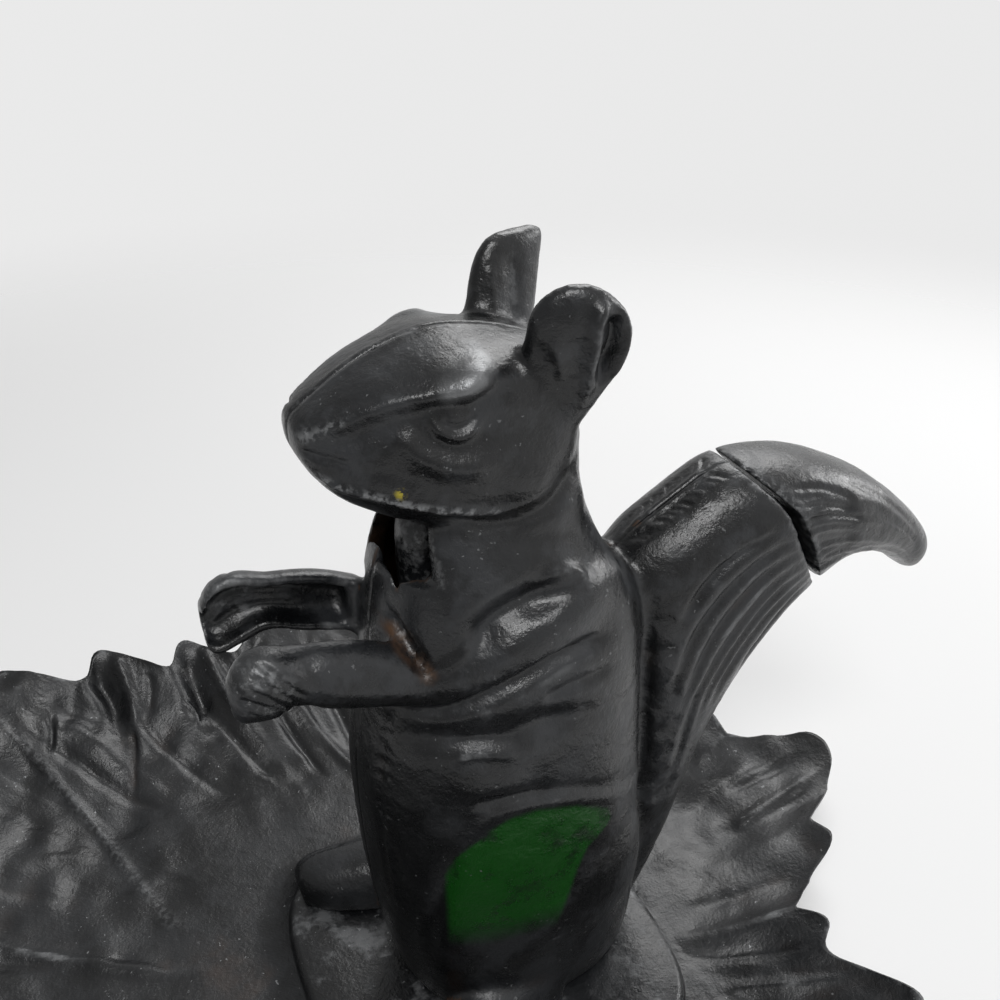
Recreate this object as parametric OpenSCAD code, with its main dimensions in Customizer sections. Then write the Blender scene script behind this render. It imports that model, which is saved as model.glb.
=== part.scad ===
// Lever nutcracker in the form of a squirrel that stands on a leaf tray.
//
// The squirrel is cast in two hollow halves that meet on the plane Y = 0. Its tail is a third
// casting: the curled end is the handle, and an arm runs from it through the hollow body to a
// jaw under the chin. The arm turns on a pin held between the halves. The squirrel faces -X,
// its left side faces -Y, and the tray stands on Z = 0.
//
// Every squirrel point below is written from the middle of its own seat on the tray.

/* [Squirrel casting] */
// Width of the torso across the haunches
torso_w = 55; // [51:0.5:58]
// Width of the head across the cheeks
head_w = 37; // [34:0.5:39]
// Width of the tail plume
tail_w = 32; // [30:0.5:34]
// Thickness of the cast walls
wall = 3.5; // [3:0.1:4]
// Half of the gap between the two forearms
arm_gap = 10.5; // [9.5:0.25:12]
// How far each forearm bulges outwards from its open side
arm_bulge = 8.5; // [7.5:0.25:9.5]
// Diameter of an ear along its long side
ear_len = 27; // [24:0.5:29]
// Diameter of an ear along its short side
ear_w = 19.5; // [18:0.5:22]

/* [Throat] */
// Half width of the pocket that the jaw works in
pocket_half_w = 9; // [8:0.25:10]
// Height of the ledge under the throat opening
ledge_z = 129; // [127:0.5:130]
// Back edge of the throat opening
notch_x = -19.5; // [-20.5:0.25:-17]
// Gap between the jaw and the roof of the pocket at rest
jaw_gap = 3; // [2:0.25:4]
// Width of the jaw
jaw_w = 12; // [10:0.25:13]

/* [Lever] */
// Width of the arm inside the body
arm_w = 9; // [7:0.25:11]
// Depth of the arm
arm_d = 10; // [8:0.25:11]
// Widest gap between the tail stump and the handle
crescent_gap = 2.2; // [1.5:0.1:3]
// Gap where the handle rests against the tail stump
seat_gap = 0.4; // [0.3:0.05:0.6]
// Width of the hub round the pin
hub_w = 12; // [11:0.25:14]

/* [Pivot] */
// Diameter of the pin
pin_d = 6; // [5:0.25:7]
// Length of the pin
pin_len = 34; // [30:0.5:35]
// Radial running clearance of the lever on the pin
pin_play = 0.06; // [0.03:0.01:0.09]
// Radial clearance of the pin in its two blind seats
seat_play = 0.03; // [0.02:0.01:0.05]
// Side clearance of the hub between the two bosses
hub_play = 0.5; // [0.3:0.05:0.8]

/* [Screws] */
// Diameter of the clamp screws that hold the two halves together
clamp_d = 5; // [4:0.25:6]
// Diameter of a clamp screw's head
clamp_head_d = 9; // [8:0.25:10]
// Height of a clamp screw's head
clamp_head_h = 3; // [2.5:0.25:3.5]
// Diameter of the tray screws
tray_screw_d = 5; // [4:0.25:6]
// Diameter of a tray screw's head
tray_head_d = 9; // [8:0.25:10]
// Height of a tray screw's head
tray_head_h = 2.8; // [2:0.1:3]
// Length of a tray screw under its head
tray_screw_len = 16; // [14:0.5:20]
// Clearance all round a screw in its hole
screw_play = 0.1; // [0.05:0.05:0.2]

/* [Leaf tray] */
// Length of the leaf
leaf_len = 311; // [300:1:320]
// Width of the leaf
leaf_w = 280; // [270:1:290]
// Thickness of the leaf's floor
floor_t = 4; // [3.5:0.1:5]
// Thickness of the leaf's turned up rim
rim_t = 3.6; // [3:0.1:4.5]
// Height of the rim at the two sides
rim_side = 29; // [24:0.5:34]
// Height of the rim at the stalk end, behind the tail
rim_rear = 13; // [10:0.5:16]
// Height of the rim at the tip of the leaf
rim_front = 17; // [13:0.5:22]
// Height of the pad that the squirrel stands on
pad_h = 3; // [2:0.25:4]
// Length of the pad
pad_len = 94; // [90:1:96]
// Width of the pad
pad_w = 92; // [86:1:94]
// Height of the main veins
vein_h = 1.6; // [1:0.1:2.2]

/* [Hidden] */

iron_black = [0.16, 0.165, 0.17];
worn_steel = [0.42, 0.42, 0.43];

sides = 20;                // points round each section of a loft
past = 0.5;                // how far a cutting shape runs past what it cuts
squirrel_x = 34;           // the seat lies behind the middle of the leaf
seat_z = floor_t + pad_h;

// Sections of the torso, from the seat up to the neck:
// front x and z, back x and z, and the half width as a share of the torso's half width
torso = [
    [-25,   0,  32,   0, 0.80],
    [-30,  14,  34,  12, 0.94],
    [-33,  34,  34,  32, 1.00],
    [-34.6, 58, 33,  54, 1.00],
    [-34.5, 80, 32,  78, 0.95],
    [-30.5, 102, 31,  98, 0.90],
    [-28.6, 120, 28.8, 113, 0.82],
    [-26,  132, 21.5, 124, 0.70],
    [-21,  141, 15.5, 139, 0.58],
    [-15,  150, 15, 154, 0.50],
];

// Sections of the head, from the nape to the nose: top, bottom and share of the half width
head = [
    [13.5, 161,  12, 150, 0.30],
    [11,  167.5,  9, 143, 0.70],
    [4,   171.5,  2, 138, 0.92],
    [-6,  174,   -8, 137, 1.00],
    [-15, 174,   -17, 138, 0.98],
    [-22, 171.8, -23.5, 140, 0.88],
    [-28, 169,   -29, 143, 0.74],
    [-34, 166.2, -34.5, 147, 0.58],
    [-38.6, 164.2, -38.6, 152.6, 0.42],
    [-41.2, 162.4, -41.2, 157, 0.24],
];

// Sections of the tail plume, from the seat to the tip of the handle: inner edge, outer edge
// and share of the half width. The handle is the last stretch, past the split.
tail = [
    [12,   0,  36,   0, 0.72],
    [16,  20,  44,  18, 0.84],
    [20,  44,  50,  38, 0.92],
    [24,  74,  55,  58, 0.96],
    [25, 100,  61.5, 73, 1.00],
    [27.8, 116,  70.5, 84.5, 1.00],
    [43, 126.5, 80, 94.5, 1.00],
    [56, 132,  89, 99.5, 0.98],
    [75, 130,  96.5, 99.5, 0.94],
    [94, 121.5, 103.5, 96.5, 0.84],
    [108, 111, 109.5, 92.5, 0.72],
    [117.5, 101.5, 114.5, 88.5, 0.56],
    [122.5, 93.5, 118, 86, 0.30],
];

// The edge of the tail stump, from the notch in the ridge down to the rear
split = [[52, 140], [56, 131], [62.5, 125], [68, 114], [75, 102], [87, 90], [96, 80]];

// Sections of a forearm, from the shoulder to the paw: x, top z and bottom z
forearm = [
    [-16, 113, 98],
    [-25, 116, 102],
    [-33, 120, 105],
    [-41, 122.5, 107.5],
    [-48, 124.5, 109.5],
    [-54, 125, 109],
    [-58, 122, 111],
    [-59.5, 118.5, 114.5],
];

// Sections of a foot, from the heel to the toes: x, y of its middle, top z and half width
foot = [
    [6, 20, 14, 6],
    [-12, 24, 15, 9],
    [-28, 29, 12, 9.5],
    [-40, 33, 9, 8.5],
    [-46, 35, 6, 5],
];

// The haunch on each side: middle and half sizes
haunch_at = [4, 11, 38];
haunch_r = [29, 17, 31];

// The ear on the left side: middle, and the direction that its hollow faces
ear_at = [8.2, -14.6, 172];
ear_thick = 7;
ear_turn = -18;            // forwards from square to the side
ear_lean = 14;             // upwards
ear_slant = 15;            // of the long side, backwards from upright

// Pin and screws, as x and z on the plane between the halves
pivot = [4, 124];
neck_at = [4, 150];
haunch_screw_at = [-9, 60];
tail_screw_at = [44, 50];
boss_wall = 3.2;
arm_room = hub_w + 2 * hub_play;
arm_clear = 1.2;           // of the arm in the passage, on each side

// How deep each clamp screw reaches into the left half, and where its head sits on the right
neck_reach = 9;
haunch_reach = 16;
tail_reach = 9;
neck_seat = 10.5;
haunch_seat = 22;
tail_seat = 10.5;

// Arm of the lever: the points it passes, from the jaw to the handle
jaw_front_x = -22.3;
pocket_front_x = -25.2;
pocket_back_x = -3;
pocket_foot_z = 108;
jaw_back_x = -11;
jaw_foot_z = 118;
pocket_top_z = 142;
arm_route = [[-14, 120], [4, 124], [13, 95], [34, 86.5], [59, 93], [82, 111]];
passage = [[8, 76], [54, 76], [54, 122], [38, 116], [30, 110.5], [22, 112], [8, 112]];

// Tray screws, as x and y from the seat's middle
tray_screw_at = [for (x = [-12, 20]) for (y = [-11, 11]) [x, y]];
recess_h = tray_head_h + 0.4;
tray_hole_h = recess_h + tray_screw_len - seat_z + 1;
tray_boss_h = tray_hole_h + 3;

// ---------------------------------------------------------------- curves and lofts

// A point of a smooth curve through the points p, a share t of the way from p[i] to p[i + 1]
function curve_point(p, i, t) =
    let (a = p[max(i - 1, 0)], b = p[i], c = p[i + 1], d = p[min(i + 2, len(p) - 1)])
    0.5 * (2 * b + (c - a) * t + (2 * a - 5 * b + 4 * c - d) * t * t
           + (3 * b - a - 3 * c + d) * t * t * t);

// The curve itself, with a number of steps between each two points
function curve(p, steps) =
    [for (i = [0 : len(p) - 2]) for (s = [0 : steps - 1]) curve_point(p, i, s / steps),
     p[len(p) - 1]];

// A signed power, which squares a circle off into a superellipse
function spow(v, n) = sign(v) * pow(abs(v), n);

// A closed ring round c, with the half axes u and v
function ring(c, u, v, power) =
    [for (k = [0 : sides - 1]) let (a = 360 * k / sides)
        c + u * spow(cos(a), 2 / power) + v * spow(sin(a), 2 / power)];

// The middle of a ring
function middle(r) = [for (axis = [0 : 2]) [for (q = r) q[axis]] * [for (q = r) 1 / len(r)]];

// A closed skin over rings that all have the same number of points, which turn either way
module loft(rings) {
    n = len(rings[0]);
    last = len(rings) - 1;
    start = middle(rings[0]);
    turn = cross(rings[0][0] - start, rings[0][floor(n / 4)] - start) * (middle(rings[1]) - start);
    walls = [for (i = [0 : last - 1]) for (k = [0 : n - 1])
        let (j = (k + 1) % n, a = i * n + k, b = i * n + j, c = (i + 1) * n + j, d = (i + 1) * n + k)
        each [[a, b, c], [a, c, d]]];
    caps = [[for (k = [n - 1 : -1 : 0]) k], [for (k = [0 : n - 1]) last * n + k]];
    faces = concat(walls, caps);
    polyhedron([for (r = rings) each r],
               turn > 0 ? [for (f = faces) [for (k = [len(f) - 1 : -1 : 0]) f[k]]] : faces,
               convexity = 6);
}

// Rings of a section list [front x, front z, back x, back z, width share], shrunk by an inset
function body_rings(sections, half_w, power, inset) =
    [for (s = curve(sections, 2))
        let (f = [s[0], 0, s[1]], b = [s[2], 0, s[3]], half = (b - f) / 2,
             keep = max(1 - inset / norm(half), 0.1))
        ring((f + b) / 2, half * keep, [0, max(half_w * s[4] - inset, 0.5), 0], power)];

// Leaves a size alone and makes one skin of what it holds
module one_skin() {
    resize([0, 0, 0]) union() children();
}

// The half space on one side of the plane between the halves
module half_space(side) {
    translate([-100, side < 0 ? -100 : 0, -50]) cube([300, 100, 300]);
}

// A rod across the body at the point [x, z], from y0 to y1
module cross_rod(at, d, y0, y1) {
    translate([at[0], y1, at[1]]) rotate([90, 0, 0]) cylinder(d = d, h = y1 - y0, $fn = 32);
}

// Puts what is modelled from the squirrel's seat in its place on the tray
module seated() {
    translate([squirrel_x, 0, seat_z]) children();
}

// ---------------------------------------------------------------- squirrel

module torso_form(inset = 0) {
    loft(body_rings(torso, torso_w / 2, 2.4, inset));
}

module head_form() {
    loft(body_rings(head, head_w / 2, 2.9, 0));
}

module tail_form(inset = 0) {
    loft(body_rings(tail, tail_w / 2, 2.3, inset));
}

// The space past the split, moved back from the stump by a crescent of the given width
module past_split(gap, rest) {
    line = curve(split, 3);
    last = len(line) - 1;
    edge = [for (i = [0 : last])
        let (t = i / last, along = line[min(i + 1, last)] - line[max(i - 1, 0)],
             out = [-along[1], along[0]] / norm(along))
        line[i] + out * (rest + (gap - rest) * pow(sin(180 * t), 2))];
    rotate([90, 0, 0]) translate([0, 0, -60]) linear_extrude(120)
        polygon(concat(edge, [[170, 80], [170, 170], [52, 170]]));
}

// One forearm of the given side, a trough that is open towards the other arm
module arm_form(side, inset = 0) {
    rings = [for (s = curve(forearm, 2))
        ring([s[0], side * arm_gap, (s[1] + s[2]) / 2],
             [0, 0, max((s[1] - s[2]) / 2 - inset, 0.6)],
             [0, max(arm_bulge * min(1, (s[1] - s[2]) / 12) - inset, 0.6), 0], 2.2)];
    intersection() {
        loft(rings);
        translate([-100, side < 0 ? -arm_gap - 60 : arm_gap, 60]) cube([200, 60, 100]);
    }
}

module foot_form(side) {
    intersection() {
        loft([for (s = curve(foot, 2))
            ring([s[0], side * s[1], 0], [0, 0, s[2]], [0, -s[3], 0], 2.3)]);
        translate([-100, -100, 0]) cube([200, 200, 40]);
    }
}

module haunch_form(side) {
    intersection() {
        translate([haunch_at[0], side * haunch_at[1], haunch_at[2]])
            scale(haunch_r) sphere(r = 1, $fn = 24);
        translate([-60, -60, 0]) cube([120, 120, 120]);
    }
}

// A cupped ear, with its hollow outwards
module ear_form(side) {
    mirror([0, side < 0 ? 0 : 1, 0]) translate(ear_at)
        rotate([0, 0, ear_turn]) rotate([ear_lean, 0, 0]) rotate([0, ear_slant, 0])
        difference() {
            scale([ear_w / 2, ear_thick / 2, ear_len / 2]) sphere(r = 1, $fn = 20);
            translate([1, -ear_thick * 0.62, 1])
                scale([ear_w * 0.36, ear_thick * 0.62, ear_len * 0.37]) sphere(r = 1, $fn = 16);
        }
}

// What one half holds on the outside
module half_form(side) {
    torso_form();
    head_form();
    tail_form();
    haunch_form(side);
    foot_form(side);
    ear_form(side);
    arm_form(side);
}

// The hollow that the arm of the lever works in, with a floor left at the seat
module hollow_form() {
    intersection() {
        union() {
            torso_form(wall);
            tail_form(wall);
        }
        translate([-80, -60, wall]) cube([220, 120, pocket_top_z - 1 - wall]);
    }
}

// The way of the lever's arm under the valley between the back and the tail
module arm_passage() {
    width = arm_w + 2 * arm_clear;
    rotate([90, 0, 0]) translate([0, 0, -width / 2]) linear_extrude(width)
        polygon(passage);
}

// The pocket under the chin, where the nut lies on the jaw
module pocket_form() {
    translate([pocket_front_x, -pocket_half_w, pocket_foot_z])
        cube([pocket_back_x - pocket_front_x, 2 * pocket_half_w, pocket_top_z - pocket_foot_z]);
}

// The opening into the pocket, through the left side of the throat
module throat_notch() {
    translate([-45, -40, ledge_z]) cube([45 + notch_x, 40, 141.5 - ledge_z]);
}

// Bosses of one half, from the plane between the halves out to the wall
module half_bosses(side) {
    near = arm_room / 2;
    intersection() {
        union() {
            torso_form();
            tail_form();
        }
        union() {
            cross_rod(pivot, pin_d + 2 * boss_wall, side < 0 ? -torso_w / 2 : near,
                      side < 0 ? -near : torso_w / 2);
            for (at = [haunch_screw_at, tail_screw_at])
                cross_rod(at, clamp_d + 2 * boss_wall, side < 0 ? -torso_w / 2 : 0,
                          side < 0 ? 0 : torso_w / 2);
            for (at = tray_screw_at)
                if (at[1] * side > 0)
                    translate([at[0], at[1], 0])
                        cylinder(d = tray_screw_d + 2 * boss_wall, h = tray_boss_h, $fn = 24);
        }
    }
}

// The inside of a forearm, which ends at the chest
module arm_trough(side) {
    intersection() {
        arm_form(side, wall - 0.6);
        translate([-100, -60, 60]) cube([70, 120, 100]);
    }
}

// A half casting before its round holes are drilled
module half_casting(side) {
    one_skin() intersection() {
        difference() {
            union() {
                difference() {
                    half_form(side);
                    hollow_form();
                    pocket_form();
                    arm_passage();
                    if (side < 0)
                        difference() {
                            throat_notch();
                            head_form();
                        }
                }
                half_bosses(side);
            }
            past_split(0, 0);
            arm_trough(side);
        }
        half_space(side);
    }
}

// Holes for the tray screws of one half
module tray_screw_holes(side) {
    for (at = tray_screw_at)
        if (at[1] * side > 0)
            translate([at[0], at[1], -past])
                cylinder(d = tray_screw_d + 2 * screw_play, h = tray_hole_h + past, $fn = 32);
}

module clamp_hole_left(at, reach) {
    cross_rod(at, clamp_d + 2 * screw_play, -reach - 0.5, past);
}

module clamp_hole_right(at, seat) {
    cross_rod(at, clamp_d + 2 * screw_play, -past, seat + past);
    cross_rod(at, clamp_head_d + 4 * screw_play, seat, seat + 30);
}

module pin_seat(side) {
    reach = pin_len / 2 + 0.3;
    cross_rod(pivot, pin_d + 2 * seat_play, side < 0 ? -reach : arm_room / 2 - past,
              side < 0 ? -arm_room / 2 + past : reach);
}

module body_left_half() {
    color(iron_black) seated() difference() {
        half_casting(-1);
        pin_seat(-1);
        clamp_hole_left(neck_at, neck_reach);
        clamp_hole_left(haunch_screw_at, haunch_reach);
        clamp_hole_left(tail_screw_at, tail_reach);
        tray_screw_holes(-1);
    }
}

module body_right_half() {
    color(iron_black) seated() difference() {
        half_casting(1);
        pin_seat(1);
        clamp_hole_right(neck_at, neck_seat);
        clamp_hole_right(haunch_screw_at, haunch_seat);
        clamp_hole_right(tail_screw_at, tail_seat);
        tray_screw_holes(1);
    }
}

// ---------------------------------------------------------------- lever

// The jaw: an upright finger, round in front, with a rounded top
module jaw_form() {
    top_z = pocket_top_z - jaw_gap;
    depth = jaw_back_x - jaw_front_x;
    round_z = 5;
    stations = [
        [jaw_foot_z - 6, 0.70],
        [jaw_foot_z, 0.92],
        [jaw_foot_z + 7, 1.00],
        [top_z - round_z, 0.96],
        [top_z - 1.4, 0.76],
        [top_z, 0.44],
    ];
    loft([for (s = curve(stations, 2))
        ring([jaw_front_x + depth / 2, 0, s[0]], [depth / 2 * s[1], 0, 0],
             [0, jaw_w / 2 * s[1], 0], 2.3)]);
}

// The arm between the jaw and the handle, with an even depth along its route
module arm_bar() {
    line = curve(arm_route, 3);
    last = len(line) - 1;
    square = [for (i = [0 : last])
        let (along = line[min(i + 1, last)] - line[max(i - 1, 0)])
        [-along[1], along[0]] / norm(along) * arm_d / 2];
    rotate([90, 0, 0]) translate([0, 0, -arm_w / 2]) linear_extrude(arm_w)
        polygon(concat([for (i = [0 : last]) line[i] + square[i]],
                       [for (i = [last : -1 : 0]) line[i] - square[i]]));
}

module tail_lever() {
    color(iron_black) seated() difference() {
        one_skin() {
            intersection() {
                tail_form();
                past_split(crescent_gap, seat_gap);
            }
            arm_bar();
            cross_rod(pivot, pin_d + 2 * 4, -hub_w / 2, hub_w / 2);
            jaw_form();
        }
        cross_rod(pivot, pin_d + 2 * pin_play, -hub_w, hub_w);
    }
}

module pivot_pin() {
    color(worn_steel) seated() cross_rod(pivot, pin_d, -pin_len / 2, pin_len / 2);
}

// ---------------------------------------------------------------- screws

// A slotted cheese head screw along Y, with its head towards +Y and its tip at -reach
module clamp_screw(at, reach, seat) {
    slot_w = 1.2;
    slot_d = 1.2;
    color(worn_steel) seated() difference() {
        union() {
            cross_rod(at, clamp_d, -reach, seat + 0.1);
            cross_rod(at, clamp_head_d, seat, seat + clamp_head_h);
        }
        translate([at[0] - clamp_head_d, seat + clamp_head_h - slot_d, at[1] - slot_w / 2])
            cube([2 * clamp_head_d, slot_d + past, slot_w]);
    }
}

module neck_clamp_screw() {
    clamp_screw(neck_at, neck_reach, neck_seat);
}

module haunch_clamp_screw() {
    clamp_screw(haunch_screw_at, haunch_reach, haunch_seat);
}

module tail_clamp_screw() {
    clamp_screw(tail_screw_at, tail_reach, tail_seat);
}

module tray_screws() {
    slot_w = 1.2;
    slot_d = 1.2;
    for (at = tray_screw_at)
        color(worn_steel) translate([squirrel_x + at[0], at[1], recess_h - tray_head_h])
            difference() {
                union() {
                    cylinder(d = tray_head_d, h = tray_head_h, $fn = 32);
                    cylinder(d = tray_screw_d, h = tray_head_h + tray_screw_len, $fn = 32);
                }
                translate([-tray_head_d, -slot_w / 2, -past])
                    cube([2 * tray_head_d, slot_w, slot_d + past]);
            }
}

// ---------------------------------------------------------------- leaf tray

leaf_teeth = 34;           // points of its edge
leaf_steps = 4 * leaf_teeth;
tooth_depth = 6;
tooth_start = 4.6;         // angle of the first tooth's foot
fold_h = 5;                // how far the rim's folds rise and fall
leaf_turn = 4;             // of the leaf about its middle, against the squirrel
stalk_r = 152;             // from the middle to the stalk end
near_trim = 0.07;          // how much narrower the leaf is on its left side

// The outline without its teeth: angle from the stalk end, and the share of stalk_r
leaf_shape = [[0, 0.99], [5, 0.98], [8, 0.88], [16, 0.83], [20, 0.74], [36, 0.90], [52, 0.76],
              [70, 0.87], [88, 0.76], [100, 0.80], [116, 0.94], [127, 1.07], [139, 0.97],
              [152, 1.00], [166, 0.93], [180, 1.01]];

// Height of the rim at the same angles
rim_shape = [[0, rim_rear], [18, rim_rear], [40, rim_side - 8], [70, rim_side - 1],
             [120, rim_side + 1], [150, rim_side - 6], [180, rim_front]];

// An angle from 0 to 360 degrees, folded so that both sides of the leaf count from the stalk
function fold(a) = a <= 180 ? a : 360 - a;

// The edge of the leaf without its teeth, in the plan
function leaf_radius(a) = stalk_r * lookup(fold(a), leaf_shape) * (1 + near_trim * min(sin(a), 0));

// Teeth that lean towards the tip of the leaf: -1 at the foot of one, 1 at its point
function tooth(a) =
    let (share = ((fold(a) - tooth_start + 360) * leaf_teeth / 360) % 1)
    share < 0.75 ? -1 + 2 * share / 0.75 : 1 - 8 * (share - 0.75);

// A point of the plan at the share t of the way out, before the leaf gets its length and width
function leaf_point(t, a) =
    (leaf_radius(a) * t + tooth_depth * tooth(a) * pow(t, 8))
        * [cos(a + leaf_turn), sin(a + leaf_turn)];

leaf_angles = [for (k = [0 : leaf_steps - 1]) 360 * k / leaf_steps];
leaf_edge = [for (a = leaf_angles) leaf_point(1, a)];
leaf_lo = [min([for (p = leaf_edge) p[0]]), min([for (p = leaf_edge) p[1]])];
leaf_hi = [max([for (p = leaf_edge) p[0]]), max([for (p = leaf_edge) p[1]])];
leaf_scale = [leaf_len / (leaf_hi[0] - leaf_lo[0]), leaf_w / (leaf_hi[1] - leaf_lo[1])];

// The tip of the leaf and the tip of the tail lie equally far from X = 0
leaf_x = leaf_len / 2 - squirrel_x - tail[len(tail) - 1][0];
pad_x = squirrel_x - 6;

// The top of the leaf at the share t of the way out, at the angle a
function leaf_top(t, a) =
    let (out = max(t - 0.6, 0) / 0.4)
    floor_t + (lookup(fold(a), rim_shape) - floor_t) * pow(out, 1.7) + fold_h * 0.5 * tooth(a) * pow(out, 3)
    + (t > 0.35 ? vein(a) * vein_h * (1 - out) : 0);

// 1 on a main vein, which runs to every fourth tooth, and 0 off it
function vein(a) = a % (360 / leaf_teeth * 4) < 1 ? 1 : 0;

function leaf_ring(t, under) =
    [for (a = leaf_angles)
        let (p = leaf_point(t, a) - (leaf_lo + leaf_hi) / 2 * t, top = leaf_top(t, a),
             low = t < 0.66 ? 0 : max(top - rim_t - (floor_t - rim_t) * (1 - t), 0))
        [leaf_x * t + pad_x * (1 - t) + p[0] * leaf_scale[0], p[1] * leaf_scale[1],
         under ? low : top]];

// The outline of the pad that carries the squirrel's seat and feet, at the height z
function pad_ring(inset, z) =
    [for (a = leaf_angles)
        let (turned = a + leaf_turn,
             r = pow(pow(abs(cos(turned)) / (pad_len / 2), 4)
                     + pow(abs(sin(turned)) / (pad_w / 2), 4), -0.25) - inset)
        [pad_x + r * cos(turned), r * sin(turned), z]];

module leaf_skin() {
    loft(concat([for (t = [0.65, 0.8, 0.9, 1]) leaf_ring(t, true)],
                [for (t = [1, 0.92, 0.84, 0.75, 0.6]) leaf_ring(t, false)],
                [pad_ring(0, floor_t), pad_ring(pad_h / 2, seat_z)]));
}

module leaf_tray() {
    color(iron_black) difference() {
        leaf_skin();
        for (at = tray_screw_at)
            translate([squirrel_x + at[0], at[1], -past]) {
                cylinder(d = tray_screw_d + 2 * screw_play, h = seat_z + 2 * past, $fn = 32);
                cylinder(d = tray_head_d + 4 * screw_play, h = recess_h + past, $fn = 32);
            }
    }
}

body_left_half();
body_right_half();
tail_lever();
pivot_pin();
neck_clamp_screw();
haunch_clamp_screw();
tail_clamp_screw();
leaf_tray();
tray_screws();
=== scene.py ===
"""Squirrel nutcracker on a leaf tray: the pieces, their finishes, the studio and the camera."""

import math
import random

import bmesh
import bpy
import numpy as np
from bpy.props import FloatProperty, FloatVectorProperty, IntProperty, PointerProperty
from mathutils import Euler, Matrix, Vector
from mathutils.bvhtree import BVHTree


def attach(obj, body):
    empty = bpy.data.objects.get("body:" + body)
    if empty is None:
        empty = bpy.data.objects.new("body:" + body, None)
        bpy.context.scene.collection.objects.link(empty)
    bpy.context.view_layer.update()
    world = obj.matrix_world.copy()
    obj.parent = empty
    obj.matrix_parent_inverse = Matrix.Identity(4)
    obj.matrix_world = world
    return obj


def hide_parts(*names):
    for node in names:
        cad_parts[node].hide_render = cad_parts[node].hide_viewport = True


bl_info = {
    "name": "Squirrel Nutcracker",
    "version": (1, 0, 0),
    "blender": (4, 5, 0),
    "location": "3D View > Sidebar > Nutcracker",
    "description": "Builds a cast iron squirrel nutcracker on its leaf tray",
    "category": "Object",
}

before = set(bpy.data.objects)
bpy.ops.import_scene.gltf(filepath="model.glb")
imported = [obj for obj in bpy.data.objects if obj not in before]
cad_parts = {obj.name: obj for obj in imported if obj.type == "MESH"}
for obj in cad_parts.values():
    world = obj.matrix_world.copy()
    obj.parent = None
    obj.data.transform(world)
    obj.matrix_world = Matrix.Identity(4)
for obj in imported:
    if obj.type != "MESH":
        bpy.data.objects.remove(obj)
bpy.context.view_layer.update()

# Every point below is in millimetres from the middle of the squirrel's seat on the tray.
# The squirrel faces -X, its left side faces -Y, and Z is up.
SEAT = Vector((34.0, 0.0, 7.0))
TO_PART = Matrix.Diagonal((0.001, 0.001, 0.001, 1.0)) @ Matrix.Translation(SEAT)

# Sections of the torso: front x and z, back x and z, share of the half width
TORSO = [
    (-25, 0, 32, 0, 0.80),
    (-30, 14, 34, 12, 0.94),
    (-33, 34, 34, 32, 1.00),
    (-34.6, 58, 33, 54, 1.00),
    (-34.5, 80, 32, 78, 0.95),
    (-30.5, 102, 31, 98, 0.90),
    (-28.6, 120, 28.8, 113, 0.82),
    (-26, 132, 21.5, 124, 0.70),
    (-21, 141, 15.5, 139, 0.58),
    (-15, 150, 15, 154, 0.50),
]

# Sections of the head, from the nape to the nose; the last value says how sharp brow and jaw are
HEAD = [
    (13.5, 161, 12, 150, 0.30, 0.0),
    (11, 167.5, 9, 143, 0.70, 0.1),
    (4, 171.5, 2, 138, 0.92, 0.5),
    (-6, 174.2, -8, 137, 1.00, 0.9),
    (-15, 174.8, -17, 138, 0.98, 1.0),
    (-22, 173.2, -23.5, 140, 0.88, 1.0),
    (-28, 170.8, -29, 143, 0.76, 1.0),
    (-34, 167.4, -34.5, 147, 0.60, 0.9),
    (-38.6, 164.6, -38.6, 152.6, 0.44, 0.8),
    (-40.9, 162.6, -40.9, 157.5, 0.28, 0.6),
]

# Half of a head section, from the ridge over the brow, the eye and the jaw to the chin:
# shares of the half width and of the half height
HEAD_PROFILE = [
    (0.00, 1.00), (0.22, 0.975), (0.46, 0.925), (0.66, 0.855), (0.80, 0.77), (0.885, 0.67),
    (0.875, 0.54), (0.875, 0.38), (0.93, 0.16), (0.985, -0.08), (0.985, -0.32), (0.93, -0.55),
    (0.76, -0.75), (0.50, -0.90), (0.24, -0.975), (0.00, -1.00),
]

# Sections of the tail: inner edge, outer edge, share of the half width
TAIL = [
    (12, 0, 33.5, 0, 0.72),
    (16, 20, 41.5, 18, 0.84),
    (20, 44, 47.8, 38, 0.92),
    (24, 74, 53.4, 58, 0.96),
    (25, 100, 61.5, 73, 1.00),
    (27.8, 116, 70.5, 84.5, 1.00),
    (43, 126.5, 80, 94.5, 1.00),
    (56, 132, 89, 99.5, 0.98),
    (75, 130, 96.5, 99.5, 0.94),
    (94, 121.5, 103.5, 96.5, 0.84),
    (108, 111, 109.5, 92.5, 0.72),
    (117.5, 101.5, 114.5, 88.5, 0.56),
    (122.5, 93.5, 118, 86, 0.30),
]

# Edge of the tail stump, from the notch in the ridge down to the rear
SPLIT = [(52, 140), (56, 131), (62.5, 125), (68, 114), (75, 102), (87, 90), (96, 80)]

# Sections of a forearm: x, top z, bottom z
FOREARM = [
    (-16, 113, 98),
    (-25, 116, 102),
    (-33, 120, 105),
    (-41, 122.5, 107.5),
    (-47, 123.6, 110),
    (-52, 125.4, 108.8),
    (-56.5, 124.6, 106.8),
    (-59.2, 120.5, 107.6),
    (-60.2, 116.5, 111),
]

# Sections of the left upper arm, from the elbow up: x, y, z, half height, half width
UPPER_ARM = [(-26, -13.5, 108.5, 4.6, 4.5), (-18, -15.5, 110, 6.2, 6.4),
             (-8, -17.6, 113.4, 7.2, 6.6), (3, -17.4, 117, 7.8, 6.6),
             (13, -14.6, 118, 8, 6.4), (21, -11, 116, 7, 5)]

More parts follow.
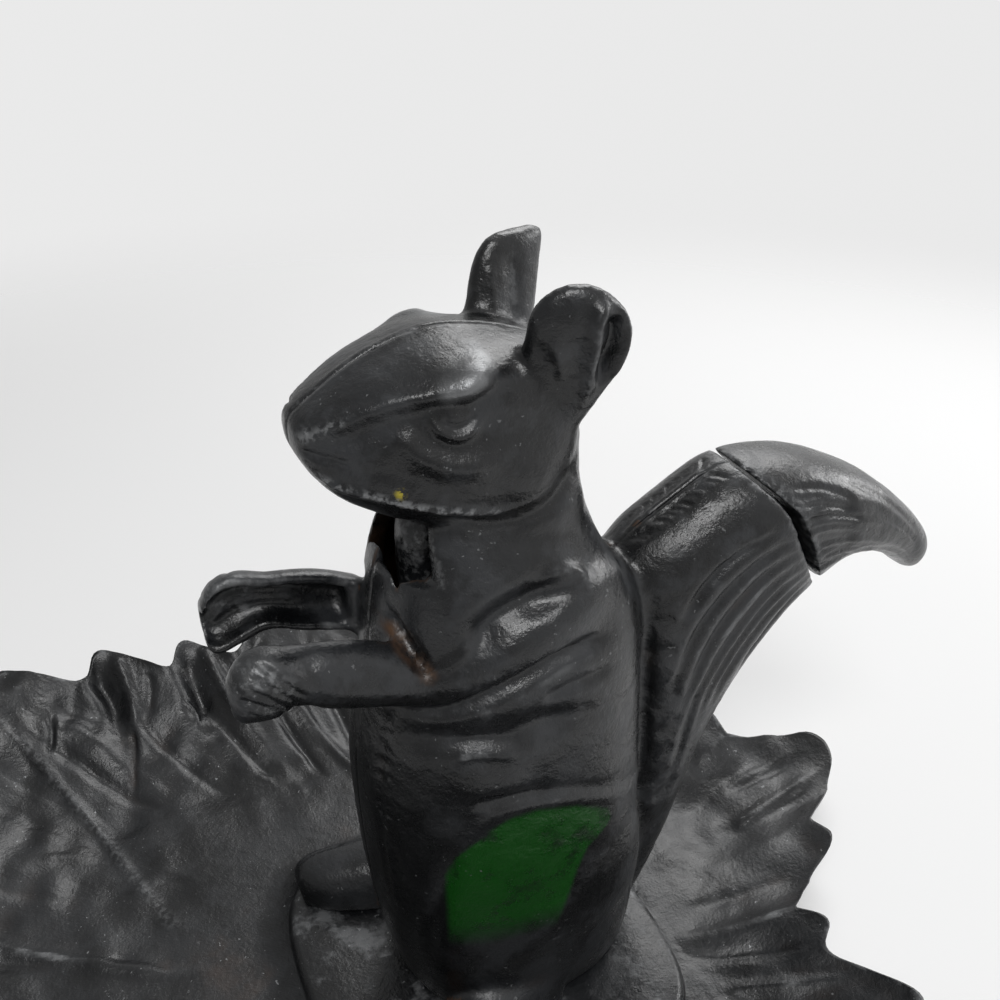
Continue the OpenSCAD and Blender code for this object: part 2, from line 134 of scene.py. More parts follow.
# Sections of a foot, from the heel to the toes: x, distance from the middle, top z, half width
FOOT = [(6, 20, 16, 6), (-12, 24, 17, 9), (-28, 29, 14.5, 10), (-40, 33, 11.5, 9),
        (-46, 35, 8, 5.5)]

# Sections of an ear, from the root up: x, distance from the middle, z, half width, half thickness
EAR = [
    (5.0, 10.5, 157, 5.8, 4.6),
    (6.0, 12.4, 163, 7.6, 4.6),
    (7.4, 14.2, 169.5, 9.5, 4.3),
    (7.6, 15.6, 175, 9.7, 3.9),
    (6.9, 16.4, 179.6, 8.7, 3.2),
    (6.4, 16.8, 182.8, 6.2, 2.3),
    (6.2, 16.9, 185.0, 2.8, 1.2),
]

# The right ear leans back and ends flat
RIGHT_EAR = [
    (5.0, 10.5, 157, 5.8, 4.6),
    (5.4, 12.4, 163, 7.2, 4.6),
    (6.6, 14.2, 169.5, 8.6, 4.3),
    (7.8, 15.6, 175, 8.9, 3.9),
    (9.0, 16.4, 179.6, 8.8, 3.3),
    (10.3, 16.8, 182.8, 8.3, 2.7),
    (11.0, 16.9, 184.7, 6.6, 1.8),
]

# The mechanism, as x and z on the plane between the halves
PIVOT = (4, 124)
NECK_SCREW = (4, 150)
HAUNCH_SCREW = (-9, 60)
TAIL_SCREW = (44, 50)
ARM_ROUTE = [(-14, 120), (4, 124), (13, 95), (34, 86.5), (59, 93), (82, 111)]
JAW_STATIONS = [(112, 0.70), (118, 0.92), (125, 1.0), (134, 0.96), (137.6, 0.76), (139, 0.44)]
PASSAGE = [(8, 76), (54, 76), (54, 122), (38, 116), (30, 110.5), (22, 112), (8, 112)]

# Each clamp screw: place, reach into the left half and the seat of its head in the right half
CLAMPS = [(NECK_SCREW, 9.5, 10.5), (HAUNCH_SCREW, 16.5, 22), (TAIL_SCREW, 9.5, 10.5)]

# Radii of the bores, and of the bosses and the hub round them
PIN_BORE, PIN_BOSS = 3.2, 6.2
SCREW_BORE, SCREW_BOSS, SCREW_HEAD_BORE = 2.8, 5.7, 4.9
LEVER_BORE, LEVER_HUB = 3.5, 7.0
TRAY_BORE, TRAY_HEAD_BORE = 2.6, 4.7

# The screws that hold the squirrel to the tray: x, and distance from the middle
TRAY_SCREW_X, TRAY_SCREW_Y = (-12, 20), 11

# How far the handle stands off the stump, in the middle of the split and at its ends
HANDLE_GAP, HANDLE_REST = 2.4, 0.5

# Longer than any casting is wide
ACROSS = 60

# Where the hollows of body and tail end
HOLLOW_TOP = 141

# Boxes with a finer mesh, round the head, the hand and the tip of the stump
FINE_BOXES = [
    ((-43, -30, 139), (20, -4, 187)),
    ((-62, -30, 104), (-44, -11, 128)),
    ((28, -8, 112), (60, -0.2, 136)),
]

# The leaf: angle from the stalk and share of the stalk's distance, then angle and height of the rim
LEAF_SHAPE = [
    (0, 0.99), (5, 0.98), (8, 0.88), (16, 0.83), (20, 0.74), (36, 0.90), (52, 0.76), (70, 0.87),
    (88, 0.76), (100, 0.80), (116, 0.94), (127, 1.07), (139, 0.97), (152, 1.00), (166, 0.93),
    (180, 1.01),
]
RIM_SHAPE = [(0, 13), (18, 13), (40, 21), (70, 28), (120, 30), (150, 23), (180, 17)]
STALK_R = 152.0  # from the middle of the leaf to its stalk
NEAR_TRIM = 0.07  # how much narrower the leaf's left side is
TOOTH_START = 4.6  # angle of the first point
TOOTH_RISE = 0.75  # share of a point that slopes up
RIM_FOOT = 0.6  # share of the way out where the rim starts to rise
RIM_WIDTH = 24.0
PAD_X = 28.0  # middle of the pad under the squirrel, and of the veins
PAD_HALF = (47.0, 46.0)

# Studio lamps: name, size, place and the point they look at, in metres
LAMPS = [
    ("window", 0.7, (0.65, 0.6, 0.85), (0.02, 0.0, 0.05)),
    ("front", 0.3, (-0.12, -0.42, 0.78), (0.0, 0.0, 0.1)),
    ("side", 0.4, (0.95, 0.05, 0.42), (0.05, 0.0, 0.1)),
]
TO_WINDOW = (0.9, -0.1, 0.35)
FLOOR_R = 1.6
CAMERA_PLACE = (-0.0387, -0.1558, 0.2459)
CAMERA_TURN = (59.0, 0.0, -25.0)


# ------------------------------------------------------------------ curves and meshes


def curve(points, steps):
    """A smooth curve through the points, with a number of steps between each two."""
    p = np.array(points, float)
    out = []
    for i in range(len(p) - 1):
        a, b, c, d = p[max(i - 1, 0)], p[i], p[i + 1], p[min(i + 2, len(p) - 1)]
        for s in range(steps):
            t = s / steps
            out.append(0.5 * (2 * b + (c - a) * t + (2 * a - 5 * b + 4 * c - d) * t**2
                              + (3 * b - a - 3 * c + d) * t**3))
    out.append(p[-1])
    return np.array(out)


def ring(middle, u, v, power, count=48):
    """A closed ring of points with the half axes u and v, squared off by its power."""
    a = np.arange(count) * 2 * math.pi / count
    c = np.sign(np.cos(a)) * np.abs(np.cos(a)) ** (2 / power)
    s = np.sign(np.sin(a)) * np.abs(np.sin(a)) ** (2 / power)
    return np.array(middle) + c[:, None] * np.array(u) + s[:, None] * np.array(v)


def body_rings(sections, half_w, power, inset=0.0):
    rings = []
    for fx, fz, bx, bz, share in curve(sections, 6):
        front, back = np.array((fx, 0, fz)), np.array((bx, 0, bz))
        half = (back - front) / 2
        keep = max(1 - inset / np.linalg.norm(half), 0.1)
        width = max(half_w * share - inset, 0.5)
        rings.append(ring((front + back) / 2, half * keep, (0, width, 0), power))
    return rings


def head_rings(half_w):
    """Rings of the head, whose sections run from a rounded one to the faceted profile."""
    faceted = np.array(HEAD_PROFILE + [(-y, z) for y, z in HEAD_PROFILE[-2:0:-1]])
    a = np.linspace(math.pi / 2, -math.pi / 2, len(HEAD_PROFILE))
    side = np.column_stack((np.abs(np.cos(a)) ** 0.78,
                            np.sign(np.sin(a)) * np.abs(np.sin(a)) ** 0.78))
    rounded = np.concatenate((side, side[-2:0:-1] * (-1, 1)))
    rings = []
    for fx, fz, bx, bz, share, edge in curve(HEAD, 6):
        top, chin = np.array((fx, 0, fz)), np.array((bx, 0, bz))
        shape = rounded + (faceted - rounded) * min(max(edge, 0), 1)
        half = (top - chin) / 2
        across = np.array((0, -half_w * share, 0))
        rings.append((top + chin) / 2 + shape[:, :1] * across + shape[:, 1:] * half)
    return rings


def loft(bm, rings):
    """A closed skin that runs from ring to ring."""
    place = bm.verts.layers.int.new("place")
    start = bmesh.ops.create_circle(bm, cap_ends=False, segments=len(rings[0]), radius=1.0)
    for k, v in enumerate(start["verts"]):
        v[place] = k
        v.co = rings[0][k]
    edges = list(bm.edges)
    bmesh.ops.contextual_create(bm, geom=edges)
    for points in rings[1:]:
        grown = bmesh.ops.extrude_edge_only(bm, edges=edges)["geom"]
        for v in grown:
            if isinstance(v, bmesh.types.BMVert):
                v.co = points[v[place]]
        edges = [e for e in grown if isinstance(e, bmesh.types.BMEdge) and e.is_boundary]
    bmesh.ops.contextual_create(bm, geom=edges)


def clip(bm, point, normal):
    """Take away what lies past a plane, on the side its normal points to, and close the cut."""
    bmesh.ops.bisect_plane(bm, geom=bm.verts[:] + bm.edges[:] + bm.faces[:], dist=1e-5,
                           plane_co=point, plane_no=normal, clear_outer=True)
    bmesh.ops.holes_fill(bm, edges=[e for e in bm.edges if e.is_boundary], sides=0)


def blob(bm, middle, radii, turn=(0, 0, 0)):
    """A ball stretched to three half sizes and turned by angles in degrees."""
    turned = Euler([math.radians(a) for a in turn]).to_matrix().to_4x4()
    placed = Matrix.Translation(middle) @ turned @ Matrix.Diagonal((*radii, 1))
    bmesh.ops.create_icosphere(bm, subdivisions=4, radius=1.0, matrix=placed)


def block(bm, low, high):
    low, high = Vector(low), Vector(high)
    bmesh.ops.create_cube(bm, size=1.0, matrix=Matrix.Translation((low + high) / 2)
                          @ Matrix.Diagonal((*(high - low), 1)))


def rod(bm, at, radius, y0, y1, segments=48):
    """A rod across the body at the point (x, z)."""
    bmesh.ops.create_cone(bm, cap_ends=True, segments=segments, radius1=radius, radius2=radius,
                          depth=y1 - y0, matrix=Matrix.Translation((at[0], (y0 + y1) / 2, at[1]))
                          @ Matrix.Rotation(math.pi / 2, 4, "X"))


def post(bm, at, radius, z0, z1, segments=48):
    """An upright rod at the point (x, y)."""
    bmesh.ops.create_cone(bm, cap_ends=True, segments=segments, radius1=radius, radius2=radius,
                          depth=z1 - z0, matrix=Matrix.Translation((at[0], at[1], (z0 + z1) / 2)))


def slab(bm, outline, y0, y1):
    """A flat plate whose outline is given as x and z."""
    base = [bm.verts.new((x, y0, z)) for x, z in outline]
    face = bmesh.ops.contextual_create(bm, geom=base)["faces"]
    grown = bmesh.ops.extrude_face_region(bm, geom=face)["geom"]
    bmesh.ops.translate(bm, vec=(0, y1 - y0, 0),
                        verts=[v for v in grown if isinstance(v, bmesh.types.BMVert)])
    bmesh.ops.triangulate(bm, faces=bm.faces[:])


def gather(name, *makers):
    """One object from forms that may overlap. Each maker fills an empty bmesh."""
    joined = bmesh.new()
    for make in makers:
        bm = bmesh.new()
        make(bm)
        bmesh.ops.recalc_face_normals(bm, faces=bm.faces[:])
        part = bpy.data.meshes.new("part")
        bm.to_mesh(part)
        bm.free()
        joined.from_mesh(part)
        bpy.data.meshes.remove(part)
    mesh = bpy.data.meshes.new(name)
    joined.to_mesh(mesh)
    joined.free()
    piece = bpy.data.objects.new(name, mesh)
    bpy.context.scene.collection.objects.link(piece)
    return piece


def settle(piece):
    """Apply the modifiers of a piece to its mesh."""
    view = bpy.context.evaluated_depsgraph_get()
    mesh = bpy.data.meshes.new_from_object(piece.evaluated_get(view))
    piece.modifiers.clear()
    old, piece.data = piece.data, mesh
    bpy.data.meshes.remove(old)


def cut(piece, operation, *makers):
    """Join, cut or keep a piece with closed forms, one after the other."""
    for make in makers:
        tool = make if isinstance(make, bpy.types.Object) else gather("tool", make)
        step = piece.modifiers.new("Cut", "BOOLEAN")
        step.operation = operation
        step.solver = "MANIFOLD"
        step.object = tool
        settle(piece)
        mesh = tool.data
        bpy.data.objects.remove(tool)
        bpy.data.meshes.remove(mesh)
    if not piece.data.vertices:
        raise RuntimeError(f"nothing is left of {piece.name}")


EASE = 0.6  # how far one pass moves a vertex to the middle of its neighbours


def knead(piece, voxel, passes):
    """Melt a piece's forms into one skin with soft edges."""
    step = piece.modifiers.new("Knead", "REMESH")
    step.mode = "VOXEL"
    step.voxel_size = voxel
    settle(piece)
    skin = Skin(piece)
    for _ in range(passes):
        skin.co += EASE * (skin.around(skin.co) - skin.co)
    skin.write()


def refine(piece, low, high):
    """Halve the mesh inside a box, where the carving is finest."""
    bm = bmesh.new()
    bm.from_mesh(piece.data)
    inside = [all(a < c < b for a, c, b in zip(low, v.co, high)) for v in bm.verts]
    edges = [e for e in bm.edges if all(inside[v.index] for v in e.verts)]
    bmesh.ops.subdivide_edges(bm, edges=edges, cuts=1, use_grid_fill=True)
    bmesh.ops.triangulate(bm, faces=[f for f in bm.faces if len(f.verts) > 4])
    bm.to_mesh(piece.data)
    bm.free()


class Skin:
    """A mesh as arrays, for carving."""

    def __init__(self, piece):
        self.piece = piece
        mesh = piece.data
        self.co = np.zeros(len(mesh.vertices) * 3)
        mesh.vertices.foreach_get("co", self.co)
        self.co = self.co.reshape(-1, 3)
        edges = np.zeros(len(mesh.edges) * 2, int)
        mesh.edges.foreach_get("vertices", edges)
        self.edges = edges.reshape(-1, 2)
        self.count = np.bincount(edges, minlength=len(self.co)).clip(1)

    def normals(self):
        flat = np.zeros(len(self.co) * 3, np.float32)
        self.piece.data.vertex_normals.foreach_get("vector", flat)
        return flat.reshape(-1, 3).astype(float)

    def around(self, values):
        """The mean of each vertex's neighbours."""
        a, b = self.edges.T
        n = len(self.co)
        flat = values.reshape(n, -1)
        total = [np.bincount(a, column[b], n) + np.bincount(b, column[a], n) for column in flat.T]
        return (np.array(total).T / self.count[:, None]).reshape(values.shape)

    def write(self):
        self.piece.data.vertices.foreach_set("co", self.co.ravel())
        self.piece.data.update()

    def keep(self, name, values):
        """Store a value for each vertex, which the finish reads."""
        layers = self.piece.data.attributes
        layer = layers.get(name) or layers.new(name, "FLOAT", "POINT")
        layer.data.foreach_set("value", values.astype(np.float32))

    def fill(self, **values):
        """Store one value for the whole piece under each name."""
        for name, value in values.items():
            self.keep(name, np.full(len(self.co), float(value)))


def ripple(co, size, seed):
    """A smooth random wave of about the given size, from -1 to 1."""
    rng = np.random.default_rng(seed)
    total = np.zeros(len(co))
    for _ in range(9):
        way = rng.normal(size=3)
        way *= 2 * math.pi / (size * rng.uniform(0.7, 1.5) * np.linalg.norm(way))
        total += np.sin(co @ way + rng.uniform(0, 6.3))
    return total / 4.5


# The ways in which a stroke is looked at
SIDE, TOP, FRONT, INNER = (0, 1, 0), (0, 0, -1), (1, 0, 0), (0, -1, 0)
STROKE_REACH = 2.2  # how many widths away a stroke still moves the skin
FACING = 0.35  # skin that faces away more than this isn't carved
LONGEST_STEP = 8  # a longer step between two hits is a jump over a gap
FULL_BEND = 0.16  # how far a vertex stands off its neighbours where wear or dirt is full


def stroke(points, width, depth, taper=0.2, way=SIDE):
    """A groove, or a ridge where the depth is negative, drawn as seen along the way."""
    return dict(points=points, width=width, depth=depth, way=way, taper=taper)


def fan(first, last, count, width, depth, seed, way=SIDE, wander=0.5):
    """Strokes spread between two guide lines."""
    rng = random.Random(seed)
    a, b = curve(first, 4), curve(last, 4)
    out = []
    for k in range(count):
        share = (k + rng.uniform(-0.3, 0.3)) / max(count - 1, 1)
        line = a + (b - a) * share + rng.uniform(-wander, wander)
        most = max(len(line) // 5, 1)
        start, end = rng.randint(0, most), len(line) - rng.randint(0, most)
        out.append(stroke(line[start:end], width * rng.uniform(0.75, 1.3),
                          depth * rng.uniform(0.6, 1.3), way=way))
    return out


def carve(piece, strokes):
    """Work the strokes into the outer skin of a piece."""
    skin = Skin(piece)
    normals = skin.normals()
    tree = BVHTree.FromObject(piece, bpy.context.evaluated_depsgraph_get())
    push = np.zeros(len(skin.co))
    for s in strokes:
        way = Vector(s["way"])
        line = curve(s["points"], 5) if len(s["points"]) < 9 else np.array(s["points"])
        starts = [{SIDE: (a, -90, b), TOP: (a, b, 230), FRONT: (-120, a, b),
                   INNER: (a, 60, b)}[s["way"]]
                  for a, b in line]
        hits = [tree.ray_cast(Vector(start), way)[0] for start in starts]
        p = np.array([hit for hit in hits if hit is not None])
        if len(p) < 2:
            continue
        reach = s["width"] * STROKE_REACH
        near = np.nonzero(((skin.co > p.min(0) - reach) & (skin.co < p.max(0) + reach)).all(1)
                          & (normals @ np.array(s["way"], float) < FACING))[0]
        if not len(near):
            continue
        q = skin.co[near]
        best = np.full(len(q), 1e9)
        share = np.zeros(len(q))
        for i in range(len(p) - 1):
            d = p[i + 1] - p[i]
            if d @ d < 1e-9 or d @ d > LONGEST_STEP**2:
                continue
            t = np.clip((q - p[i]) @ d / (d @ d), 0, 1)
            gap = np.linalg.norm(q - p[i] - t[:, None] * d, axis=1)
            closer = gap < best
            best[closer] = gap[closer]
            share[closer] = (i + t[closer]) / (len(p) - 1)
        ends = np.clip(np.minimum(share, 1 - share) / max(s["taper"], 1e-3), 0, 1)
        ends = ends * ends * (3 - 2 * ends)
        push[near] -= s["depth"] * np.exp(-(best / s["width"]) ** 2) * (0.15 + 0.85 * ends)
    skin.co += normals * push[:, None]
    skin.write()


def weather(piece, grain, seed):
    """Give a casting its slight unevenness, and store where it is worn and where dirt sits."""
    skin = Skin(piece)
    wave = ripple(skin.co, 9, seed) * grain + ripple(skin.co, 3.2, seed + 1) * grain * 0.5
    skin.co += skin.normals() * wave[:, None]
    skin.write()
    normals = skin.normals()
    spread = skin.co.copy()
    for _ in range(3):
        spread = skin.around(spread)
    bend = ((skin.co - spread) * normals).sum(1)
    bend = skin.around(skin.around(bend))
    skin.keep("worn", np.clip(bend / FULL_BEND, 0, 1))
    skin.keep("dirt", np.clip(-bend / FULL_BEND, 0, 1))


def lookup(value, table):
    """Read a table of pairs, in between them as well."""
    return np.interp(value, [a for a, _ in table], [b for _, b in table])


def along(u, v, points, reach, full=1.3, steps=6):
    """1 on a line and 0 away from it, by the distance in u and v."""
    near = np.full(len(u), 1e9)
    for pu, pv in curve(points, steps):
        near = np.minimum(near, np.hypot(u - pu, v - pv))
    return np.clip(full - near / reach, 0, 1)


def finish(piece, body, node, material):
    """Put a carved piece in its place in the part."""
    piece.data.transform(TO_PART)
    piece.data.materials.clear()
    piece.data.materials.append(material)
    piece.data.shade_smooth()
    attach(piece, body)
    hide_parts(node)


# ------------------------------------------------------------------ finishes


class Nodes:
    """A node tree under construction."""

    def __init__(self, tree, place):
        self.tree = tree
        self.place = self.node("ShaderNodeTexCoord", place)

    def feed(self, socket, value):
        """Link a socket to another one, or give it a value."""
        if isinstance(value, bpy.types.NodeSocket):
            self.tree.links.new(value, socket)
        elif socket.type == "RGBA":
            socket.default_value = (*value[:3], 1.0)
        else:
            socket.default_value = value

    def node(self, kind, out, inputs=None, **settings):
        """Add a node, feed its inputs and give back one of its outputs."""
        n = self.tree.nodes.new(kind)
        for name, value in settings.items():
            setattr(n, name, value)
        for name, value in (inputs or {}).items():
            self.feed(n.inputs[name], value)
        return n.outputs[out]

    def noise(self, scale, detail=4.0, roughness=0.55, stretch=None):
        place = self.place
        if stretch:
            place = self.node("ShaderNodeMapping", "Vector", {"Vector": place, "Scale": stretch})
        return self.node("ShaderNodeTexNoise", "Fac", {
            "Vector": place, "Scale": scale, "Detail": detail, "Roughness": roughness})

    def cells(self, scale):
        return self.node("ShaderNodeTexVoronoi", "Distance", {"Vector": self.place, "Scale": scale})

    def value(self, name):
        return self.node("ShaderNodeAttribute", "Fac", attribute_name=name)

    def range(self, source, low, high, to_low=0.0, to_high=1.0, shape="SMOOTHSTEP"):
        return self.node("ShaderNodeMapRange", "Result", {
            "Value": source, "From Min": low, "From Max": high, "To Min": to_low, "To Max": to_high,
        }, interpolation_type=shape)

    def math(self, operation, a, b, clamp=False):
        return self.node("ShaderNodeMath", "Value", {0: a, 1: b}, operation=operation,
                         use_clamp=clamp)

    def mix(self, share, a, b):
        n = self.tree.nodes.new("ShaderNodeMix")
        n.data_type = "RGBA"
        # the colour sockets of this node share their names with its other kinds
        sockets = [n.inputs["Factor"]] + [i for i in n.inputs if i.type == "RGBA"]
        for socket, value in zip(sockets, (share, a, b)):
            self.feed(socket, value)
        return next(o for o in n.outputs if o.type == "RGBA")

    def bump(self, height, strength, distance, before=None):
        inputs = {"Height": height, "Strength": strength, "Distance": distance}
        if before:
            inputs["Normal"] = before
        return self.node("ShaderNodeBump", "Normal", inputs)

    def seen(self):
        """1 for what the camera sees, straight, mirrored or through glass."""
        path = self.tree.nodes.new("ShaderNodeLightPath").outputs
        mirrored = self.math("MAXIMUM", path["Is Camera Ray"], path["Is Glossy Ray"])
        return self.math("MAXIMUM", mirrored, path["Is Transmission Ray"])


class Finish(Nodes):
    """A material under construction."""

    def __init__(self, name):
        old = bpy.data.materials.get(name)
        if old:
            bpy.data.materials.remove(old)
        self.material = bpy.data.materials.new(name)
        self.material.use_nodes = True
        super().__init__(self.material.node_tree, "Object")

    def shade(self, inputs):
        """Feed the shader, and give back the material."""
        shader = self.tree.nodes["Principled BSDF"]
        for name, value in inputs.items():
            self.feed(shader.inputs[name], value)
        return self.material


BODY_PAINT = dict(shine=0.29, specks=0.6, dust=1.0)
LEVER_PAINT = dict(shine=0.28, specks=0.7, dust=0.9)
LEAF_PAINT = dict(shine=0.32, specks=1.0, dust=0.45)


def black_paint(name, colours, shine, specks, dust):
    """Old semi-gloss black paint over cast iron, worn bright on what stands proud, and dusty, with
    painted shade and painted highlights where the stored values place them.
    """
    f = Finish(name)
    broad, patch, fine = f.noise(26, 5, 0.6), f.noise(110, 6, 0.62), f.noise(620, 5, 0.6)
    mottle = f.math("ADD", f.range(broad, 0.35, 0.65), f.range(patch, 0.46, 0.62, -0.25, 0.6), True)
    # this also paints shade: darker paint low at the front and on what faces the ground
    mottle = f.math("MULTIPLY", mottle, f.value("dust"))
    green = f.math("MULTIPLY", f.value("green"), f.range(patch, 0.25, 0.5))
    grime = f.math("MULTIPLY", f.value("dirt"), f.range(broad, 0.55, 0.72, 0, 0.2))
    rust = f.math("MULTIPLY", f.value("rust"), f.range(patch, 0.36, 0.6))
    rust = f.math("ADD", rust, grime, True)
    yellow = f.math("MULTIPLY", f.value("yellow"), f.range(fine, 0.44, 0.5))
    paint = f.mix(f.math("MULTIPLY", mottle, dust), colours.paint, colours.paint_grey)
    for share, colour in ((green, colours.green), (rust, colours.rust), (yellow, colours.yellow)):
        paint = f.mix(share, paint, colour)

    edge = f.math("MULTIPLY", f.range(f.value("worn"), 0.6, 1.3), f.range(patch, 0.5, 0.66))
    speck = f.math("MULTIPLY", f.range(f.noise(800, 2), 0.69, 0.73),
                   f.range(f.noise(70, 3), 0.48, 0.58))
    # scuffs, with painted highlights on the ear's ridge and on a leaf vein
    scuff = f.math("MULTIPLY", f.value("scuff"), f.range(fine, 0.45, 0.62))
    bare = edge
    # the last value is smooth bare iron: a painted highlight on the brow, and wear with a painted
    # highlight on the hand
    for more in (f.math("MULTIPLY", speck, specks), scuff, f.value("rubbed")):
        bare = f.math("ADD", bare, more, True)

    rough = f.range(patch, 0.3, 0.75, shine - 0.07, shine + 0.12)
    rough = f.math("ADD", rough, f.math("MULTIPLY", rust, 0.3))
    skin = None
    for height, strength, distance in (
            (f.noise(190, 4, 0.6), 0.4, 0.0006), (fine, 0.5, 0.0003),
            (f.noise(1500, 3, 0.6), 0.5, 0.00016),
            (f.range(f.cells(520), 0.0, 0.22), 0.16, 0.00018)):
        skin = f.bump(height, strength, distance, skin)
    return f.shade({
        "Base Color": f.mix(bare, paint, colours.bare),
        "Roughness": f.math("ADD", rough, f.math("MULTIPLY", bare, 0.12), True),
        "Metallic": f.math("MULTIPLY", bare, 0.55),
        "Specular IOR Level": 0.5,
        "Normal": skin,
    })


def old_steel(name, colours):
    """Dull turned steel with brown stains."""
    f = Finish(name)
    stain = f.range(f.noise(350, 5, 0.6), 0.5, 0.68)
    lines = f.noise(2200, 2, 0.5, stretch=(1.0, 0.08, 1.0))
    return f.shade({
        "Base Color": f.mix(stain, colours.steel, colours.rust),
        "Roughness": f.range(f.noise(900, 3), 0.3, 0.7, 0.3, 0.5),
        "Metallic": f.math("SUBTRACT", 1.0, f.math("MULTIPLY", stain, 0.7)),
        "Normal": f.bump(lines, 0.3, 0.00008),
    })


# ------------------------------------------------------------------ what the user can change


def amount(name, description, default, low, high, **more):
    return FloatProperty(name=name, description=description, default=default, min=low, max=high,
                         **more)


def power(name, description, default):
    return amount(name, description, default, 0, 200, unit="POWER")


def colour(name, description, default):
    return FloatVectorProperty(name=name, description=description, default=default, min=0, max=1,
                               size=3, subtype="COLOR")


class CastingSettings(bpy.types.PropertyGroup):
    """Sizes of the squirrel castings."""

    torso_w: amount("Torso width", "Width of the torso across the haunches", 55.0, 51, 58)
    head_w: amount("Head width", "Width of the head across the cheeks", 37.0, 34, 39)
    tail_w: amount("Tail width", "Width of the tail", 32.0, 30, 34)
    hand_lift: amount("Hand lift", "How much higher the left hand's underside is", 3.6, 0, 5)
    wall: amount("Wall", "Thickness of the cast walls", 3.5, 3, 4)
    seam: amount("Seam", "Half of the gap between the two halves", 0.02, 0, 0.2)
    groove: amount("Seam groove", "Depth of the groove along the seam", 0.28, 0, 0.5)
    grain: amount("Unevenness", "How far the cast surface rises and falls", 0.07, 0, 0.3)
    voxel: amount("Body detail", "Size of the smallest form on the body", 0.9, 0.6, 2)
    lever_voxel: amount("Lever detail", "Size of the smallest form on the lever", 0.6, 0.4, 2)


class LeafSettings(bpy.types.PropertyGroup):
    """Sizes of the leaf tray."""

    length: amount("Length", "Length of the leaf", 311.0, 300, 320)
    width: amount("Width", "Width of the leaf", 280.0, 270, 290)
    floor: amount("Floor", "Thickness of the leaf's floor", 4.0, 3.5, 5)
    rim: amount("Rim", "Thickness of the turned up rim", 3.6, 3, 4.5)
    pad: amount("Pad", "Height of the pad under the squirrel", 3.0, 2, 4)
    teeth: IntProperty(name="Teeth", description="Points round the edge", default=34, min=20,
                       max=50)
    tooth: amount("Tooth depth", "Depth of the points", 6.0, 3, 9)


class FinishSettings(bpy.types.PropertyGroup):
    """Colours of the finishes."""

    paint: colour("Black paint", "Paint where it is whole", (0.003, 0.0033, 0.0038))
    paint_grey: colour("Faded paint", "Paint where it has gone dull", (0.022, 0.0235, 0.026))
    bare: colour("Bare iron", "Iron where the paint is worn off", (0.22, 0.225, 0.23))
    rust: colour("Rust", "Rust and old oil in the hollows", (0.09, 0.042, 0.016))
    green: colour("Green paint", "Traces of green paint on the haunch", (0.001, 0.062, 0.001))
    yellow: colour("Yellow paint", "Speck of yellow paint on the jaw", (0.42, 0.34, 0.02))
    steel: colour("Steel", "Pin and screws", (0.32, 0.32, 0.33))


class StudioSettings(bpy.types.PropertyGroup):
    """Light, floor and camera."""

    window: power("Window light", "Power of the large soft light from behind", 6.5)
    front: power("Front light", "Power of the smaller light above the camera", 3.4)
    side: power("Side light", "Power of the low light on the tail's side", 3.0)
    sky: amount("Room light", "Strength of the even light all round", 0.22, 0, 2)
    wall: amount("Walls", "Strength of the pale walls, as seen and as mirrored", 0.82, 0, 1)
    glow: amount("Floor lift", "How much paler the floor is, as seen and as mirrored", 0.2, 0, 1)
    floor: colour("Floor", "Colour of the floor", (0.72, 0.72, 0.72))
    lens: amount("Lens", "Focal length of the camera", 36.0, 20, 100)


# ------------------------------------------------------------------ squirrel


def trunk(size):
    """The forms that both halves share, a little past the plane between them."""
    def torso(bm):
        loft(bm, body_rings(TORSO, size.torso_w / 2, 2.4))
        clip(bm, (0, 2, 0), (0, 1, 0))

    def head(bm):
        loft(bm, head_rings(size.head_w / 2))
        clip(bm, (0, 2, 0), (0, 1, 0))

    def tail(bm):
        loft(bm, body_rings(TAIL, size.tail_w / 2, 2.3))
        clip(bm, (0, 2, 0), (0, 1, 0))

    return torso, head, tail


def limbs(lift, ear_sections):
    """The left haunch, foot, arm and ear, and the muscles under the skin."""
    def haunch(bm):
        blob(bm, (4, -11, 39), (28.5, 17.4, 35))
        clip(bm, (0, 0, 0), (0, 0, -1))

    def foot(bm):
        loft(bm, [ring((x, -y, 0), (0, 0, z), (0, -w, 0), 2.3) for x, y, z, w in curve(FOOT, 5)])
        clip(bm, (0, 0, 0), (0, 0, -1))

    def forearm(bm):
        loft(bm, forearm_rings(0.0, lift))
        clip(bm, (0, -10.5, 0), (0, 1, 0))

    def hand(bm):
        blob(bm, (-53.0, -14.2, 115.2 + lift * 0.85), (7.4, 5.6, 7.4), (0, -24, 0))
        clip(bm, (0, -10.5, 0), (0, 1, 0))

    def ear(bm):
        loft(bm, [ring((x, -y, z), (w * 0.95, -w * 0.31, 0), (t * 0.31, t * 0.95, 0), 2.3)
                  for x, y, z, w, t in curve(ear_sections, 5)])

    def upper_arm(bm):
        loft(bm, [ring((x, y, z), (0, 0, h), (0, w, 0), 2.1)
                  for x, y, z, h, w in curve(UPPER_ARM, 6)])

    def neck(bm):
        blob(bm, (0, -8, 137), (14, 9, 14), (0, 12, 0))

    def thigh(bm):
        blob(bm, (-7, -15.5, 84), (14, 10.4, 9), (0, 12, 0))

    def cheek(bm):
        blob(bm, (-4, -11.6, 150.6), (11.5, 7.2, 8.4), (0, 22, 0))

    def brow(bm):
        blob(bm, (-13, -12.4, 168.6), (7.4, 4.4, 3.6), (0, 8, -14))

    def eyeball(bm):
        blob(bm, (-15.3, -14.3, 163.6), (4.0, 2.6, 2.5), (0, 6, 0))

    return haunch, foot, forearm, hand, ear, upper_arm, neck, thigh, cheek, brow, eyeball


